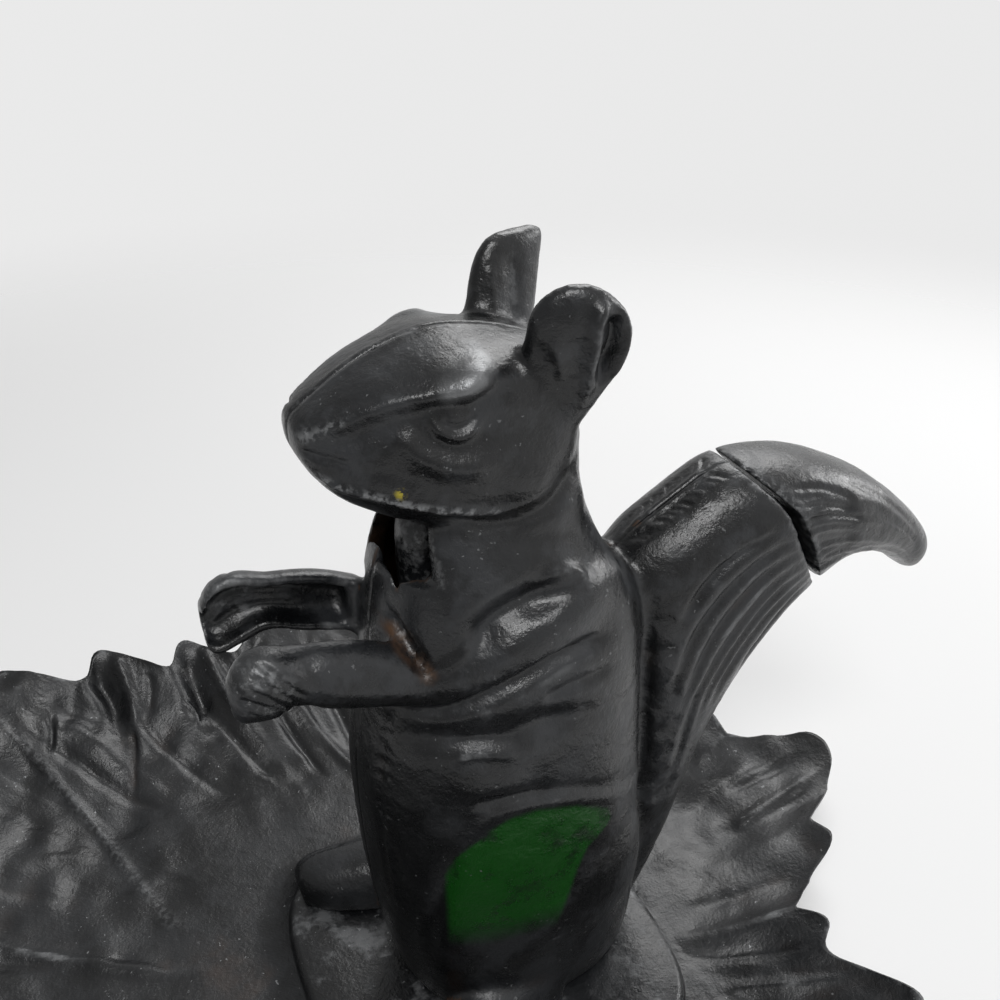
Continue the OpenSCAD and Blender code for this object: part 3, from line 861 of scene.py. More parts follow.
def forearm_rings(inset, lift=0.0):
    """Rings of a forearm. The lift raises the underside of the hand."""
    rings = []
    for x, top, low in curve(FOREARM, 6):
        low = min(low + lift * min(max((-44 - x) / 8, 0), 1), top - 2)
        rings.append(ring((x, -10.5, (top + low) / 2), (0, 0, max((top - low) / 2 - inset, 0.6)),
                          (0, -max(8.5 * min(1, (top - low) / 12) - inset, 0.6), 0), 2.2))
    return rings


def past_split(gap, rest):
    """The outline of all that lies past the split, moved back from the stump by a crescent."""
    line = curve(SPLIT, 6)
    last = len(line) - 1
    edge = []
    for i in range(last + 1):
        ahead = line[min(i + 1, last)] - line[max(i - 1, 0)]
        out = np.array((-ahead[1], ahead[0])) / np.linalg.norm(ahead)
        edge.append(line[i] + out * (rest + (gap - rest) * math.sin(math.pi * i / last) ** 2))
    return [tuple(p) for p in edge] + [(170, 80), (170, 170), (52, 170)]


def hollow_inside(head, left, lift, size):
    """The hollow of a half, with the passage of the lever and the throat opening on the left."""
    def torso_hollow(bm):
        loft(bm, body_rings(TORSO, size.torso_w / 2, 2.4, size.wall))
        clip(bm, (0, 0, size.wall), (0, 0, -1))
        clip(bm, (0, 0, HOLLOW_TOP), (0, 0, 1))

    def tail_hollow(bm):
        loft(bm, body_rings(TAIL, size.tail_w / 2, 2.3, size.wall))
        clip(bm, (0, 0, size.wall), (0, 0, -1))
        clip(bm, (0, 0, HOLLOW_TOP), (0, 0, 1))

    def trough(bm):
        loft(bm, forearm_rings(2.6, lift))
        clip(bm, (-30, 0, 0), (1, 0, 0))

    hollow = gather("hollow", torso_hollow)
    cut(hollow, "UNION", tail_hollow, trough,
        lambda bm: block(bm, (-25.2, -9, 108), (-3, 9, 142)),
        lambda bm: slab(bm, PASSAGE, -5.7, 5.7))
    if left:
        notch = gather("notch", lambda bm: block(bm, (-45, -40, 129), (-19.5, 1, 141.5)))
        cut(notch, "DIFFERENCE", head)
        cut(hollow, "UNION", notch)
    return hollow


def half_casting(name, left, size, seed):
    """One half of the squirrel. The right half is made as a left one and turned over."""
    torso, head, tail = trunk(size)
    lift = size.hand_lift if left else 0.0
    half = gather(name, torso, head, tail, *limbs(lift, EAR if left else RIGHT_EAR))
    knead(half, size.voxel, 5)
    cut(half, "DIFFERENCE", hollow_inside(head, left, lift, size))

    tail_boss = gather("tail_boss", lambda bm: rod(bm, TAIL_SCREW, SCREW_BOSS, -13.5, 1))
    cut(tail_boss, "INTERSECT", lambda bm: loft(bm, body_rings(TAIL, size.tail_w / 2, 2.3, 0.8)))
    feet = [(x, -TRAY_SCREW_Y) for x in TRAY_SCREW_X]
    cut(half, "UNION", tail_boss, gather(
        "bosses",
        lambda bm: rod(bm, PIVOT, PIN_BOSS, -20, -6.5),
        lambda bm: rod(bm, HAUNCH_SCREW, SCREW_BOSS, -24.5, 1),
        *[lambda bm, at=at: post(bm, at, SCREW_BOSS, 1, 16.2) for at in feet]))

    bores = [lambda bm: rod(bm, PIVOT, PIN_BORE, -17.3, 2)]
    bores += [lambda bm, at=at: post(bm, at, SCREW_BORE, -1, 13.2) for at in feet]
    for at, reach, seat in CLAMPS:
        depth = reach if left else seat + 1
        bores.append(lambda bm, at=at, depth=depth: rod(bm, at, SCREW_BORE, -depth, 2))
        if not left:
            bores.append(lambda bm, at=at, y=-seat: rod(bm, at, SCREW_HEAD_BORE, y - 30, y))
    rest = gather("rest", lambda bm: slab(bm, past_split(0, 0), -ACROSS, ACROSS))
    cut(rest, "UNION", *bores)
    cut(half, "DIFFERENCE", rest)

    knead(half, size.voxel, 3)
    for low, high in FINE_BOXES:
        refine(half, low, high)
    carve(half, body_strokes())
    weather(half, size.grain, seed)
    cut(half, "DIFFERENCE", lambda bm: block(bm, (-100, -size.seam, -20), (200, 100, 260)))
    open_seam(half, size)
    half.data.set_sharp_from_angle(angle=math.radians(50))
    return half


def open_seam(half, size):
    """Round the edges where the halves meet, so that their seam shows as a fine groove."""
    skin = Skin(half)
    out = skin.normals()
    out[:, 1] = 0
    length = np.linalg.norm(out, axis=1)
    tree = BVHTree.FromObject(half, bpy.context.evaluated_depsgraph_get())
    for i in np.nonzero((skin.co[:, 1] > -size.seam - 0.001) & (length > 0.05))[0]:
        way = Vector(out[i] / length[i])
        # the hollows' edges look back into the half, and they stay sharp
        if tree.ray_cast(Vector(skin.co[i]) + way * 0.1 - Vector((0, 0.1, 0)), way)[0] is None:
            skin.co[i] -= np.array(way) * size.groove
    skin.write()


BROW = [(-39.5, 161), (-37, 162.6), (-34, 164.2), (-30, 166), (-26, 167.4), (-22, 168.2),
        (-18.5, 168.4), (-15, 168.8), (-11.5, 169.8), (-8.5, 171)]
JAW = [(-38, 153.8), (-34, 152), (-30.5, 151), (-26.5, 149.6), (-21.5, 147.8), (-16.5, 146.6),
       (-9, 144.6), (-1, 145.4)]
HAUNCH = [(-19, 72), (-14.5, 76), (-10.5, 77.8), (-5, 77.8), (3, 75.6), (14, 70), (26, 63)]


def shifted(points, dx, dz):
    return [(x + dx, z + dz) for x, z in points]


# Strokes on the left side: points as x and z, width, depth, and where they differ taper and way
STROKES = [
    # brow edge with its corner over the eye, the eye and its lids
    (BROW, 1.3, -0.6, 0.1),
    ([(-19, 168), (-15.6, 169.1), (-12.4, 170.6), (-9.6, 171.7), (-6.6, 172.3)], 3.2, -1.3, 0.45),
    ([(-13.6, 166.4), (-10.6, 167.2), (-7.6, 168), (-5, 168.4)], 1.8, 0.8, 0.4),
    (shifted(BROW[1:7], 0.6, -3.2), 2.0, 0.55),
    ([(-22, 165.8), (-19, 166.4), (-15.6, 166.6), (-12.2, 166.2), (-9.4, 165.2)], 1.6, 0.5, 0.35),
    ([(-20.1, 165.2), (-19.4, 163.2), (-17.7, 161.6), (-15.9, 160.9), (-13.8, 161.2), (-12, 162.7),
      (-10.6, 164.8)], 0.9, -0.85, 0.3),
    ([(-18.6, 164.6), (-16.6, 162.9), (-13.8, 163), (-12, 164.6)], 0.8, 0.4),
    ([(-21.4, 164), (-20.2, 161.6), (-18.1, 159.5), (-15.2, 158.7), (-12, 159.4), (-9.6, 162)],
     1.5, 0.3),
    # nose, mouth, cheek and jaw
    ([(-41, 158.9), (-38.4, 158.2), (-35.4, 157.6), (-33, 156.8)], 0.8, 0.5),
    ([(-39.4, 164.4), (-38.7, 162.8), (-38.6, 161.6)], 0.6, 0.5),
    ([(-25.3, 162.6), (-24.3, 160.6), (-22.6, 158.6), (-20.4, 157), (-17.4, 155.8), (-13, 155.2),
      (-8, 155.6)], 1.9, -0.8),
    ([(-27.4, 159.6), (-26, 156.8), (-23.6, 154.2), (-20.4, 152.2), (-16.2, 150.8), (-11, 150.4)],
     2.8, 0.55, 0.45),
    ([(-37, 156.6), (-32, 155.6), (-27, 155), (-23, 152.4)], 1.6, 0.3),
    (JAW, 1.0, -0.8, 0.1),
    ([(-26, 145.6), (-18, 143.4), (-10, 141), (-3, 140.8), (4, 143), (9, 147.4)], 1.8, 1.0),
    # neck, chest and arm
    ([(-14, 138.4), (-7, 137.6), (2, 136.4), (11, 134)], 2.2, 0.5),
    ([(-27.6, 122), (-26.2, 118.6), (-24.8, 115.4), (-23.2, 112.6)], 1.3, 1.7),
    ([(-21.8, 113.4), (-18, 115.6), (-15.2, 119)], 1.0, -0.8),
    ([(-13.8, 115.6), (-13.2, 119.6), (-11, 122.4), (-6.4, 124.4), (0, 125.6), (5, 127)],
     2.9, 2.5, 0.3),
    ([(-21, 121), (-12, 128), (-2, 131.6), (9, 133)], 2.8, -0.6),
    ([(-15, 114), (-9, 117.8), (-2, 120.6), (7, 123.4), (17, 124.6)], 3.0, -0.3),
    ([(-29, 102.2), (-22.5, 102.8), (-16, 105.6), (-7, 109), (1, 111.4), (8, 112.2), (15, 112)],
     1.7, 2.1),
    ([(-29, 95), (-22, 96.4), (-12, 96.6), (-3, 97), (6, 98)], 3.6, 1.8),
    ([(-2, 103), (5.6, 104.2), (15, 104)], 1.5, 0.9),
    ([(-4, 95), (6, 95.6), (16, 93.6), (23, 90)], 2.6, 0.6),
    ([(-45.6, 122.6), (-44.6, 117.6), (-44, 112.4)], 2.0, 0.7),
    ([(-44, 119.6), (-37, 117.2), (-30, 113)], 2.6, 0.6),
    # haunch and back
    ([(-20, 92.4), (-14.8, 93), (-7.6, 91.4)], 1.1, -0.8),
    ([(-22, 95.4), (-14.8, 96), (-6, 94)], 1.3, 0.5),
    ([(-21, 85), (-15.6, 84.2), (-8.3, 84.4), (-3, 85)], 4.2, -0.7, 0.4),
    ([(-18, 80), (-13.8, 80.8), (-6.7, 79.9), (0.1, 77.4)], 1.5, 0.9),
    (shifted(HAUNCH, 0, 2.4), 2.0, 0.5, 0.45),
    (shifted(HAUNCH, 0, -0.6), 1.5, -0.7, 0.45),
    ([(-27, 30), (-26, 44), (-23.4, 56), (-21, 68)], 2.0, 0.9),
    ([(31, 111), (30, 96), (30.4, 80), (31, 64), (30.6, 48), (29.4, 30), (26, 13)], 1.9, 1.6),
    ([(-27.6, 103), (-31, 92), (-33, 78), (-33.2, 62), (-32.4, 46)], 1.0, 0.5),
]
FUR_RIBS = [
    [(60, 120), (51, 117), (42.5, 110.5), (36.5, 101)],
    [(67, 117), (59.5, 115.4), (50.5, 110), (43, 102), (39, 93), (36.5, 82)],
    [(68.5, 113.4), (61, 111.6), (53.3, 106), (46.2, 97), (42, 86), (39, 74)],
    [(70, 110.8), (63, 108), (57, 102), (49.7, 92.4), (44, 80), (41, 66), (38.5, 50)],
    [(70.6, 107.6), (62.5, 102.6), (55, 93.6), (47.6, 80.6), (44.4, 68)],
    [(71.5, 105), (64, 98.6), (57.6, 91), (51.4, 81), (48, 72)],
    [(73, 102.4), (66.4, 94.4), (60.6, 86), (57, 79)],
]
EAR_FOLDS = [
    ([(1.3, 176.4), (2, 174), (3.1, 170.6), (3.6, 167.4)], 0.9, -0.4, 0.35),
    ([(-0.3, 175.5), (0.5, 172.2), (1.2, 169.4)], 1.8, 0.35, 0.4),
    ([(5.4, 176.5), (5.8, 172), (6, 168)], 1.8, 0.4),
    ([(11, 181.4), (9.4, 180.4), (8.6, 178.2), (8.5, 175.4), (8.6, 172.2), (8.6, 167.5),
      (8, 163.2)], 1.3, -1.3),
    ([(11.7, 180), (12.3, 177.2), (12.3, 174.6), (11.8, 172.2), (11.1, 169.8), (10.5, 165.6)],
     1.8, 2.8),
    ([(13, 180.6), (14.3, 178), (14.8, 174), (13.8, 169.3), (12.6, 166.2)], 0.8, -0.6),
    ([(8.6, 182), (8.4, 176), (7.6, 169), (7.2, 163)], 2.0, 0.8, 0.2, INNER),
    ([(3.6, 180), (3.2, 174), (3.2, 168)], 1.2, -0.4, 0.2, INNER),
]
# Flash of the casting along the seam, over the head and the tail, as x and y
FLASH = [
    ([(-37, -0.9), (-25, -0.9), (-12, -0.9), (1, -0.9)], 0.8, -0.35, 0.2, TOP),
    ([(31, -1), (38, -1), (45, -1), (51, -1)], 0.7, -0.4, 0.2, TOP),
]


def body_strokes():
    """Grooves and ridges that the carver cut into the left side."""
    out = [stroke(*row) for row in STROKES]
    # ribs of fur on the tail stump, and finer fur between and above them
    out += [stroke(rib, 1.2, 1.15, 0.3) for rib in FUR_RIBS]
    out += fan([(30.5, 107), (36.5, 110.5)], [(33, 36), (42, 44)], 10, 1.8, 0.5, 5, wander=0.3)
    out += fan([(30, -1.2), (31.6, -3), (33, -5)], [(50, -1.2), (51.6, -3), (53, -5)],
               20, 0.6, 0.22, 12, TOP)
    out += [stroke([(45, 116), (52, 118), (59, 121.6)], 0.8, -0.4)]
    out += [stroke(*row) for row in FLASH]
    # folds inside the forearm
    out += [stroke([(-58 + k, 112.5 + 1.4 * k), (-54, 115 + 1.5 * k), (-48, 115.4 + 1.2 * k),
                    (-36, 111.6 + 1.3 * k)], 1.0, -0.8, way=INNER) for k in range(3)]
    # hatched fur down the belly
    out += fan([(-7.5, 97), (-11.6, 98.6)], [(-12.6, 44), (-17.4, 46)],
               26, 0.7, 0.42, 6, FRONT, 0.2)
    # fingers and toes
    out += [stroke([(-58.8 + 1.5 * k, 119.4 + 1.9 * k), (-55.4 + 1.3 * k, 117.8 + 1.6 * k),
                    (-51.8 + k, 114.2 + 1.5 * k), (-49.6 + k, 110.8 + 1.5 * k)], 0.7, 0.8)
            for k in range(4)]
    out += [stroke([(-47, 2 + 2.6 * k), (-40, 4.6 + 2.6 * k), (-32, 7 + 2.6 * k)], 0.9, 0.7)
            for k in range(3)]
    return out + [stroke(*row) for row in EAR_FOLDS]


# Marks on the castings, as seen on the left side: line as x and z, reach and strength. They are
# scuffs, but for the painted highlight along the ear's ridge.
SCUFFS_AND_HIGHLIGHTS = [
    (JAW[:-1], 1.0, 1.0),
    (BROW[:3], 0.9, 0.9),
    # painted highlight along the bright ridge of the ear
    ([(9.2, 180.2), (8.5, 175.4), (8.6, 170), (8.2, 165)], 1.0, 0.35),
    ([(-57, 122.5), (-53, 122.6), (-50, 119.4)], 2.0, 0.6),
    ([(-58, 116.6), (-54.4, 116.4), (-51, 114.4)], 1.2, 0.5),
    ([(-19.4, 131), (-19.6, 138)], 1.2, 0.5),
    (SPLIT[1:5], 1.1, 0.7),
]
# Painted highlight of smooth bare iron on the brow's corner over the eye, and on the hand's top
# wear that is also a painted highlight
PAINTED_BROW_HIGHLIGHT = [(-16.4, 169), (-14.4, 170), (-11.6, 171.2), (-9, 172)]
HAND_WEAR_AND_HIGHLIGHT = [(-56, 123), (-52, 123.4)]
RUST_RECESS = [(-27.2, 118), (-25.6, 116), (-24.5, 114.6), (-23.5, 112.6)]
YELLOW_SPECK = (-25.8, 151.3)

# The patch of green paint: its upper edge as x and z, and its rear edge as z and x
GREEN_TOP = [(-24, 58), (-20.4, 67), (-14.5, 73), (-9.2, 75.4), (-4, 75.6), (6, 72.2), (14.5, 66),
             (16.6, 61), (18, 40)]
GREEN_REAR = [(38, 2), (50.7, 6.3), (57.3, 9.4), (61.2, 16), (66, 17)]
GREEN_FRONT_X = -23.5


def paint_marks(piece):
    """Store where a half has rust, green and yellow paint, scuffs, rubbed metal and dust, with the
    painted highlights and painted shade among them.
    """
    skin = Skin(piece)
    normals = skin.normals()
    x, y, z = skin.co.T
    left = y < 0
    inward = normals[:, 1] * np.sign(y) < -0.2
    y = -np.abs(y)
    inside = inward & (x > -28) & (x < 34) & (z > 3) & (z < 143)

    rust = along(x, z, RUST_RECESS, 1.5) * left + inside * (y > -24) * 0.7
    skin.keep("rust", np.clip(np.where(y > -0.3, 0, rust), 0, 1))

    green = np.clip(lookup(x, GREEN_TOP) - z, 0, 1) * np.clip(lookup(z, GREEN_REAR) - x, 0, 1)
    green *= np.clip(x - GREEN_FRONT_X, 0, 1) * left * (y < -15) * np.clip((z - 36) / 8, 0, 1)
    skin.keep("green", np.clip(green, 0, 1))

    speck = np.hypot(x - YELLOW_SPECK[0], z - YELLOW_SPECK[1])
    skin.keep("yellow", np.clip(1.5 - speck / 0.8, 0, 1) * left * (y < -5))

    scuff = (np.abs(y) < 0.5) * (z > 158) * 0.3
    for points, reach, strength in SCUFFS_AND_HIGHLIGHTS:
        scuff = np.maximum(scuff, along(x, z, points, reach) * strength)
    skin.keep("scuff", np.clip(scuff, 0, 1) * (y < -0.3))

    # painted highlight on the brow corner; wear and painted highlight on top of the hand
    brow = along(x, z, PAINTED_BROW_HIGHLIGHT, 2.6) ** 2 * 0.8
    hand = along(x, z, HAND_WEAR_AND_HIGHLIGHT, 2.6) ** 2 * 0.25
    skin.keep("rubbed", np.clip(np.maximum(brow, hand), 0, 1) * (y < -6))

    # painted shade: the paint is left darker, with less dust, on what faces forward low down and on
    # what faces the ground
    forward = np.minimum(normals[:, 0] + 0.2, 0) * np.clip((108 - z) / 8, 0, 1)
    down = np.minimum(normals[:, 2] + 0.3, 0)
    skin.keep("dust", np.clip(1.1 + 2.0 * forward + 0.9 * down, 0.05, 1))


def turn_over(piece):
    """Mirror a piece to the other side of the plane between the halves."""
    bm = bmesh.new()
    bm.from_mesh(piece.data)
    bmesh.ops.scale(bm, vec=(1, -1, 1), verts=bm.verts[:])
    bmesh.ops.reverse_faces(bm, faces=bm.faces[:])
    bm.to_mesh(piece.data)
    bm.free()


class NUTCRACKER_OT_left_half(bpy.types.Operator):
    """Build the left half of the squirrel, with the throat opening"""

    bl_idname = "nutcracker.left_half"
    bl_label = "Left half"

    def execute(self, context):
        size = context.scene.nutcracker_casting
        half = half_casting("squirrel_left_half", True, size, 11)
        paint_marks(half)
        paint = black_paint("black_paint_left", context.scene.nutcracker_finish, **BODY_PAINT)
        finish(half, "body", "body_left_half", paint)
        return {"FINISHED"}


class NUTCRACKER_OT_right_half(bpy.types.Operator):
    """Build the right half of the squirrel, with the seats of the clamp screws"""

    bl_idname = "nutcracker.right_half"
    bl_label = "Right half"

    def execute(self, context):
        size = context.scene.nutcracker_casting
        half = half_casting("squirrel_right_half", False, size, 23)
        turn_over(half)
        paint_marks(half)
        paint = black_paint("black_paint_right", context.scene.nutcracker_finish, **BODY_PAINT)
        finish(half, "body", "body_right_half", paint)
        return {"FINISHED"}


# ------------------------------------------------------------------ lever


def lever_strokes():
    out = fan([(64, 128), (74, 126.4), (84, 122)], [(74, 105), (80, 106), (88, 104.6)],
              13, 0.8, 1.0, 31)
    out += fan([(78, 127), (93, 119), (106, 108), (115, 98)],
               [(82, 104), (93, 102.6), (104, 98), (112, 91)], 8, 0.9, 0.4, 32)
    return out


def arm(bm):
    """The bar between handle and jaw, through the hollow body."""
    line = curve(ARM_ROUTE, 6)
    rings = []
    for i, (x, z) in enumerate(line):
        ahead = line[min(i + 1, len(line) - 1)] - line[max(i - 1, 0)]
        square = np.array((-ahead[1], 0, ahead[0])) / np.linalg.norm(ahead)
        rings.append(ring((x, 0, z), square * 4.9, (0, 4.5, 0), 6, 24))
    loft(bm, rings)


def jaw(bm):
    loft(bm, [ring((-16.65, 0, z), (5.65 * s, 0, 0), (0, 6 * s, 0), 2.3)
              for z, s in curve(JAW_STATIONS, 5)])


class NUTCRACKER_OT_tail_lever(bpy.types.Operator):
    """Build the lever: the handle of the tail, the arm inside the body and the jaw"""

    bl_idname = "nutcracker.tail_lever"
    bl_label = "Tail lever"

    def execute(self, context):
        size = context.scene.nutcracker_casting
        split = past_split(HANDLE_GAP, HANDLE_REST)
        handle = gather("tail_lever_casting",
                        lambda bm: loft(bm, body_rings(TAIL, size.tail_w / 2, 2.3)))
        cut(handle, "INTERSECT", lambda bm: slab(bm, split, -ACROSS, ACROSS))
        cut(handle, "UNION", arm, lambda bm: rod(bm, PIVOT, LEVER_HUB, -6, 6), jaw)
        cut(handle, "DIFFERENCE", lambda bm: rod(bm, PIVOT, LEVER_BORE, -10, 10))
        knead(handle, size.lever_voxel, 5)
        for _ in ("left", "right"):
            carve(handle, lever_strokes())
            turn_over(handle)
        weather(handle, size.grain, 41)
        skin = Skin(handle)
        x, _, z = skin.co.T
        edge = along(x, z, split[:-3], 2.2, full=1, steps=2)
        skin.keep("scuff", edge * 0.8 * (x > 50) + (x < -8) * 0.5)
        skin.keep("rust", ((x < 50) & (z < 116)) * 0.7)
        skin.fill(dust=1, green=0, yellow=0, rubbed=0)
        paint = black_paint("black_paint_lever", context.scene.nutcracker_finish, **LEVER_PAINT)
        finish(handle, "lever", "tail_lever", paint)
        return {"FINISHED"}


# ------------------------------------------------------------------ leaf tray


def bump_at(share, middle, width):
    """A soft bump in a share that runs from 0 to 1."""
    return np.exp(-(((share - middle) / width) ** 2))


class Leaf:
    """The leaf as functions of the angle from the stalk and the share of the way out."""

    def __init__(self, size, count):
        self.size = size
        a = np.arange(count) * 360 / count
        fold = np.where(a <= 180, a, 360 - a)
        share = ((fold - TOOTH_START + 360) * size.teeth / 360) % 1
        tooth = np.where(share < TOOTH_RISE, -1 + 2 * share / TOOTH_RISE,
                         1 - 8 * (share - TOOTH_RISE))
        self.tooth = sum(np.roll(tooth, k) for k in range(-3, 4)) / 7
        self.valley = bump_at(share, 0.93, 0.1) + bump_at(share, -0.07, 0.1)
        self.spine = bump_at(share, 0.6, 0.13)
        self.swell = 0.55 + 0.45 * np.sin(np.radians(a * 7 + 40)) * np.sin(np.radians(a * 3 + 10))
        trim = 1 + NEAR_TRIM * np.minimum(np.sin(np.radians(a)), 0)
        self.radius = STALK_R * lookup(fold, LEAF_SHAPE) * trim
        self.rise = lookup(fold, RIM_SHAPE) - size.floor
        self.way = np.radians(a + 4)
        edge = self.flat(1.0)
        self.low, self.high = edge.min(0), edge.max(0)
        self.scale = np.array((size.length, size.width)) / (self.high - self.low)

    def flat(self, t):
        r = self.radius * t + self.size.tooth * self.tooth * t**8
        return np.stack((r * np.cos(self.way), r * np.sin(self.way)), 1)

    def plan(self, t):
        p = (self.flat(t) - (self.low + self.high) / 2 * t) * self.scale
        p[:, 0] += PAD_X * (1 - t) - t
        return p

    def top(self, t):
        out = max(t - RIM_FOOT, 0) / (1 - RIM_FOOT)
        z = self.size.floor + self.rise * out**1.7
        steep = self.rise / RIM_WIDTH
        z += 2.5 * self.tooth * out**3
        z -= 2.4 * steep * self.valley * self.swell * math.sin(math.pi * min(out * 1.04, 1)) ** 0.8
        return z + 1.3 * steep * self.spine * self.swell * math.sin(math.pi * out**1.2)

    def pad(self, inset, z):
        c, s = np.cos(self.way), np.sin(self.way)
        r = (np.abs(c / PAD_HALF[0]) ** 4 + np.abs(s / PAD_HALF[1]) ** 4) ** -0.25 - inset
        return np.stack((PAD_X + r * c, r * s, np.full(len(r), z)), 1)

    def ring(self, t, under=False):
        z = self.top(t)
        if under:
            thickness = self.size.rim + (self.size.floor - self.size.rim) * (1 - t)
            z = np.zeros(len(z)) if t < 0.66 else np.maximum(z - thickness, 0)
        return np.column_stack((self.plan(t), z))


# Veins and creases of the leaf, as x and y from the seat's middle, with width and height.
# The first is the raised vein on the right side of the squirrel.
LEAF_VEINS = [
    ([(-116.8, 125), (-112.3, 118.3), (-106.7, 108.8), (-101.1, 97), (-95.4, 85), (-91.9, 75.9),
      (-88.8, 65.5), (-80, 42)], 1.7, -0.9),
    ([(-140, 66), (-120, 50), (-98, 36), (-76, 22)], 1.8, -1.2),
    ([(-180, 6), (-150, 5), (-118, 3), (-62, 0)], 2.2, -1.6),
    ([(-140, -52), (-120, -42), (-98, -30), (-76, -20)], 1.8, -1.2),
    ([(-112, -112), (-104, -96), (-96, -78), (-88, -58), (-80, -38)], 2.0, -1.5),
    ([(-28, 108), (-20, 84), (-10, 56)], 1.8, -1.2),
    ([(34, 100), (26, 80), (16, 54)], 1.8, -1.2),
    ([(80, 70), (62, 56), (46, 42)], 1.8, -1.2),
    ([(-28, -104), (-20, -82), (-10, -56)], 1.8, -1.2),
    ([(34, -92), (26, -76), (16, -54)], 1.8, -1.2),
    ([(80, -58), (62, -48), (46, -38)], 1.8, -1.2),
    ([(114, 6), (90, 4), (50, 2)], 2.0, -1.2),
    ([(112, 13.4), (99, 13.6), (84, 14.6)], 0.9, 0.9),
    ([(112, 16.2), (99, 16.6), (84, 17.6)], 0.8, -0.5),
    ([(-102, 124), (-103, 117.5), (-105, 112)], 0.9, 1.3),
    ([(-100.4, 123), (-101.4, 117.4), (-103.4, 112)], 0.9, -0.8),
    ([(-79.4, 112.6), (-80.7, 104.7), (-83.4, 93)], 0.8, 1.2),
    ([(-71, 126), (-71.4, 121), (-74, 114)], 1.5, 0.9),
    ([(-62, 115), (-60, 112.5), (-59.3, 109.6), (-60.5, 106.4)], 0.8, -0.9),
]

# Folds of the whole rim: a line as x and y, its width and how far it goes down
LEAF_FOLDS = [
    ([(-86.4, 130), (-84.6, 125), (-83.4, 119), (-83, 112)], 3.2, 5.0),
    ([(-97, 123), (-91.5, 121), (-87, 117)], 4.6, 2.4),
    ([(-79.2, 131), (-78, 125), (-77.8, 119), (-78.2, 113), (-77.6, 106)], 1.9, -2.4),
    ([(-58.4, 124), (-57.8, 118), (-57, 111), (-55, 104)], 3.8, 4.4),
    ([(-51.6, 125.5), (-50.4, 120), (-49.2, 114.4), (-47.4, 108.6), (-44.6, 102)], 1.8, -2.2),
    ([(-37, 124), (-36.4, 116), (-34, 108)], 2.6, 2.6),
    ([(-120, 126), (-112, 130), (-104, 131)], 6.0, -3.0),
    ([(-95, 132), (-91, 129)], 4.6, 1.4),
    ([(-84, -110), (-83, -103), (-81, -96)], 3.2, 4.0),
    ([(-77, -112), (-76, -102), (-75, -94)], 1.9, -2.0),
    ([(-57, -108), (-56, -100), (-55, -92)], 3.6, 3.6),
    ([(-49.6, -108), (-48.6, -100), (-47, -92)], 1.9, -2.0),
    ([(70, 92), (66, 84), (60, 76)], 3.4, 3.0),
    ([(70, -84), (66, -76), (60, -70)], 3.4, 3.0),
]


def fold(skin, line, width, depth):
    """Bend top and underside together along a line."""
    p = curve(line, 6)
    q = skin.co[:, :2].copy()
    near = np.full(len(q), 1e9)
    share = np.zeros(len(q))
    for i in range(len(p) - 1):
        d = p[i + 1] - p[i]
        t = np.clip((q - p[i]) @ d / (d @ d), 0, 1)
        gap = np.linalg.norm(q - p[i] - t[:, None] * d, axis=1)
        share = np.where(gap < near, (i + t) / (len(p) - 1), share)
        near = np.minimum(near, gap)
    ends = np.clip((1 - share) / 0.4, 0, 1)
    skin.co[:, 2] -= depth * np.exp(-((near / width) ** 2)) * (0.2 + 0.8 * ends)


def leaf_strokes():
    """The veins, and short wrinkles strewn over the leaf."""
    out = [stroke(line, width, depth, 0.3, TOP) for line, width, depth in LEAF_VEINS]
    rng = random.Random(19)
    for _ in range(46):
        angle, r = rng.uniform(0, 6.28), rng.uniform(68, 112)
        x, y = -22 + r * 1.08 * math.cos(angle), r * 0.95 * math.sin(angle)
        turn = angle + rng.uniform(-0.7, 0.7)
        reach = rng.uniform(5, 12)
        line = [(x + far * math.cos(way), y + far * math.sin(way))
                for far, way in ((0, turn), (reach * 0.5, turn), (reach, turn + 0.25))]
        out.append(stroke(line, rng.uniform(1.2, 2.6), rng.choice((-0.45, -0.3, 0.4, 0.6)),
                          0.4, TOP))
    return out


def leaf_rings(size):
    """Rings from the underside over the rim and down the leaf to the middle of the pad."""
    leaf = Leaf(size, size.teeth * 20)
    under = [leaf.ring(t, True) for t in (0.5, 0.62, 0.65, 0.72, 0.8, 0.86, 0.92, 0.96, 0.985)]
    top = [leaf.ring(t) for t in 1 - np.linspace(0, 1, 62) ** 1.15 * 0.55]
    seat = size.floor + size.pad
    edge = leaf.pad(0, size.floor)
    inner = [top[-1] * (1 - k) + edge * k for k in (0.34, 0.67, 1.0)]
    crown = [leaf.pad(0.5, size.floor + 1.2), leaf.pad(1.5, seat - 0.4)]
    crown += [leaf.pad(inset, seat) for inset in (2.6, 12, 26, 40)]
    return under + top + inner + crown


def buckle(tray):
    """Make the leaf uneven, more so towards the rim, and put in its folds. The pad stays flat."""
    skin = Skin(tray)
    face = skin.normals()[:, 2]
    x, y, _ = skin.co.T
    out = np.clip((np.hypot(x + 15, y) - 60) / 60, 0, 1)
    top = (face > 0.2) & (np.maximum(np.abs(x + 6), np.abs(y)) > 48)
    waves = ripple(skin.co, 26, 71) + 0.5 * ripple(skin.co, 11, 72)
    skin.co[:, 2] += top * (0.25 + 0.9 * out) * waves
    for line, width, depth in LEAF_FOLDS:
        fold(skin, line, width, depth)
    skin.write()


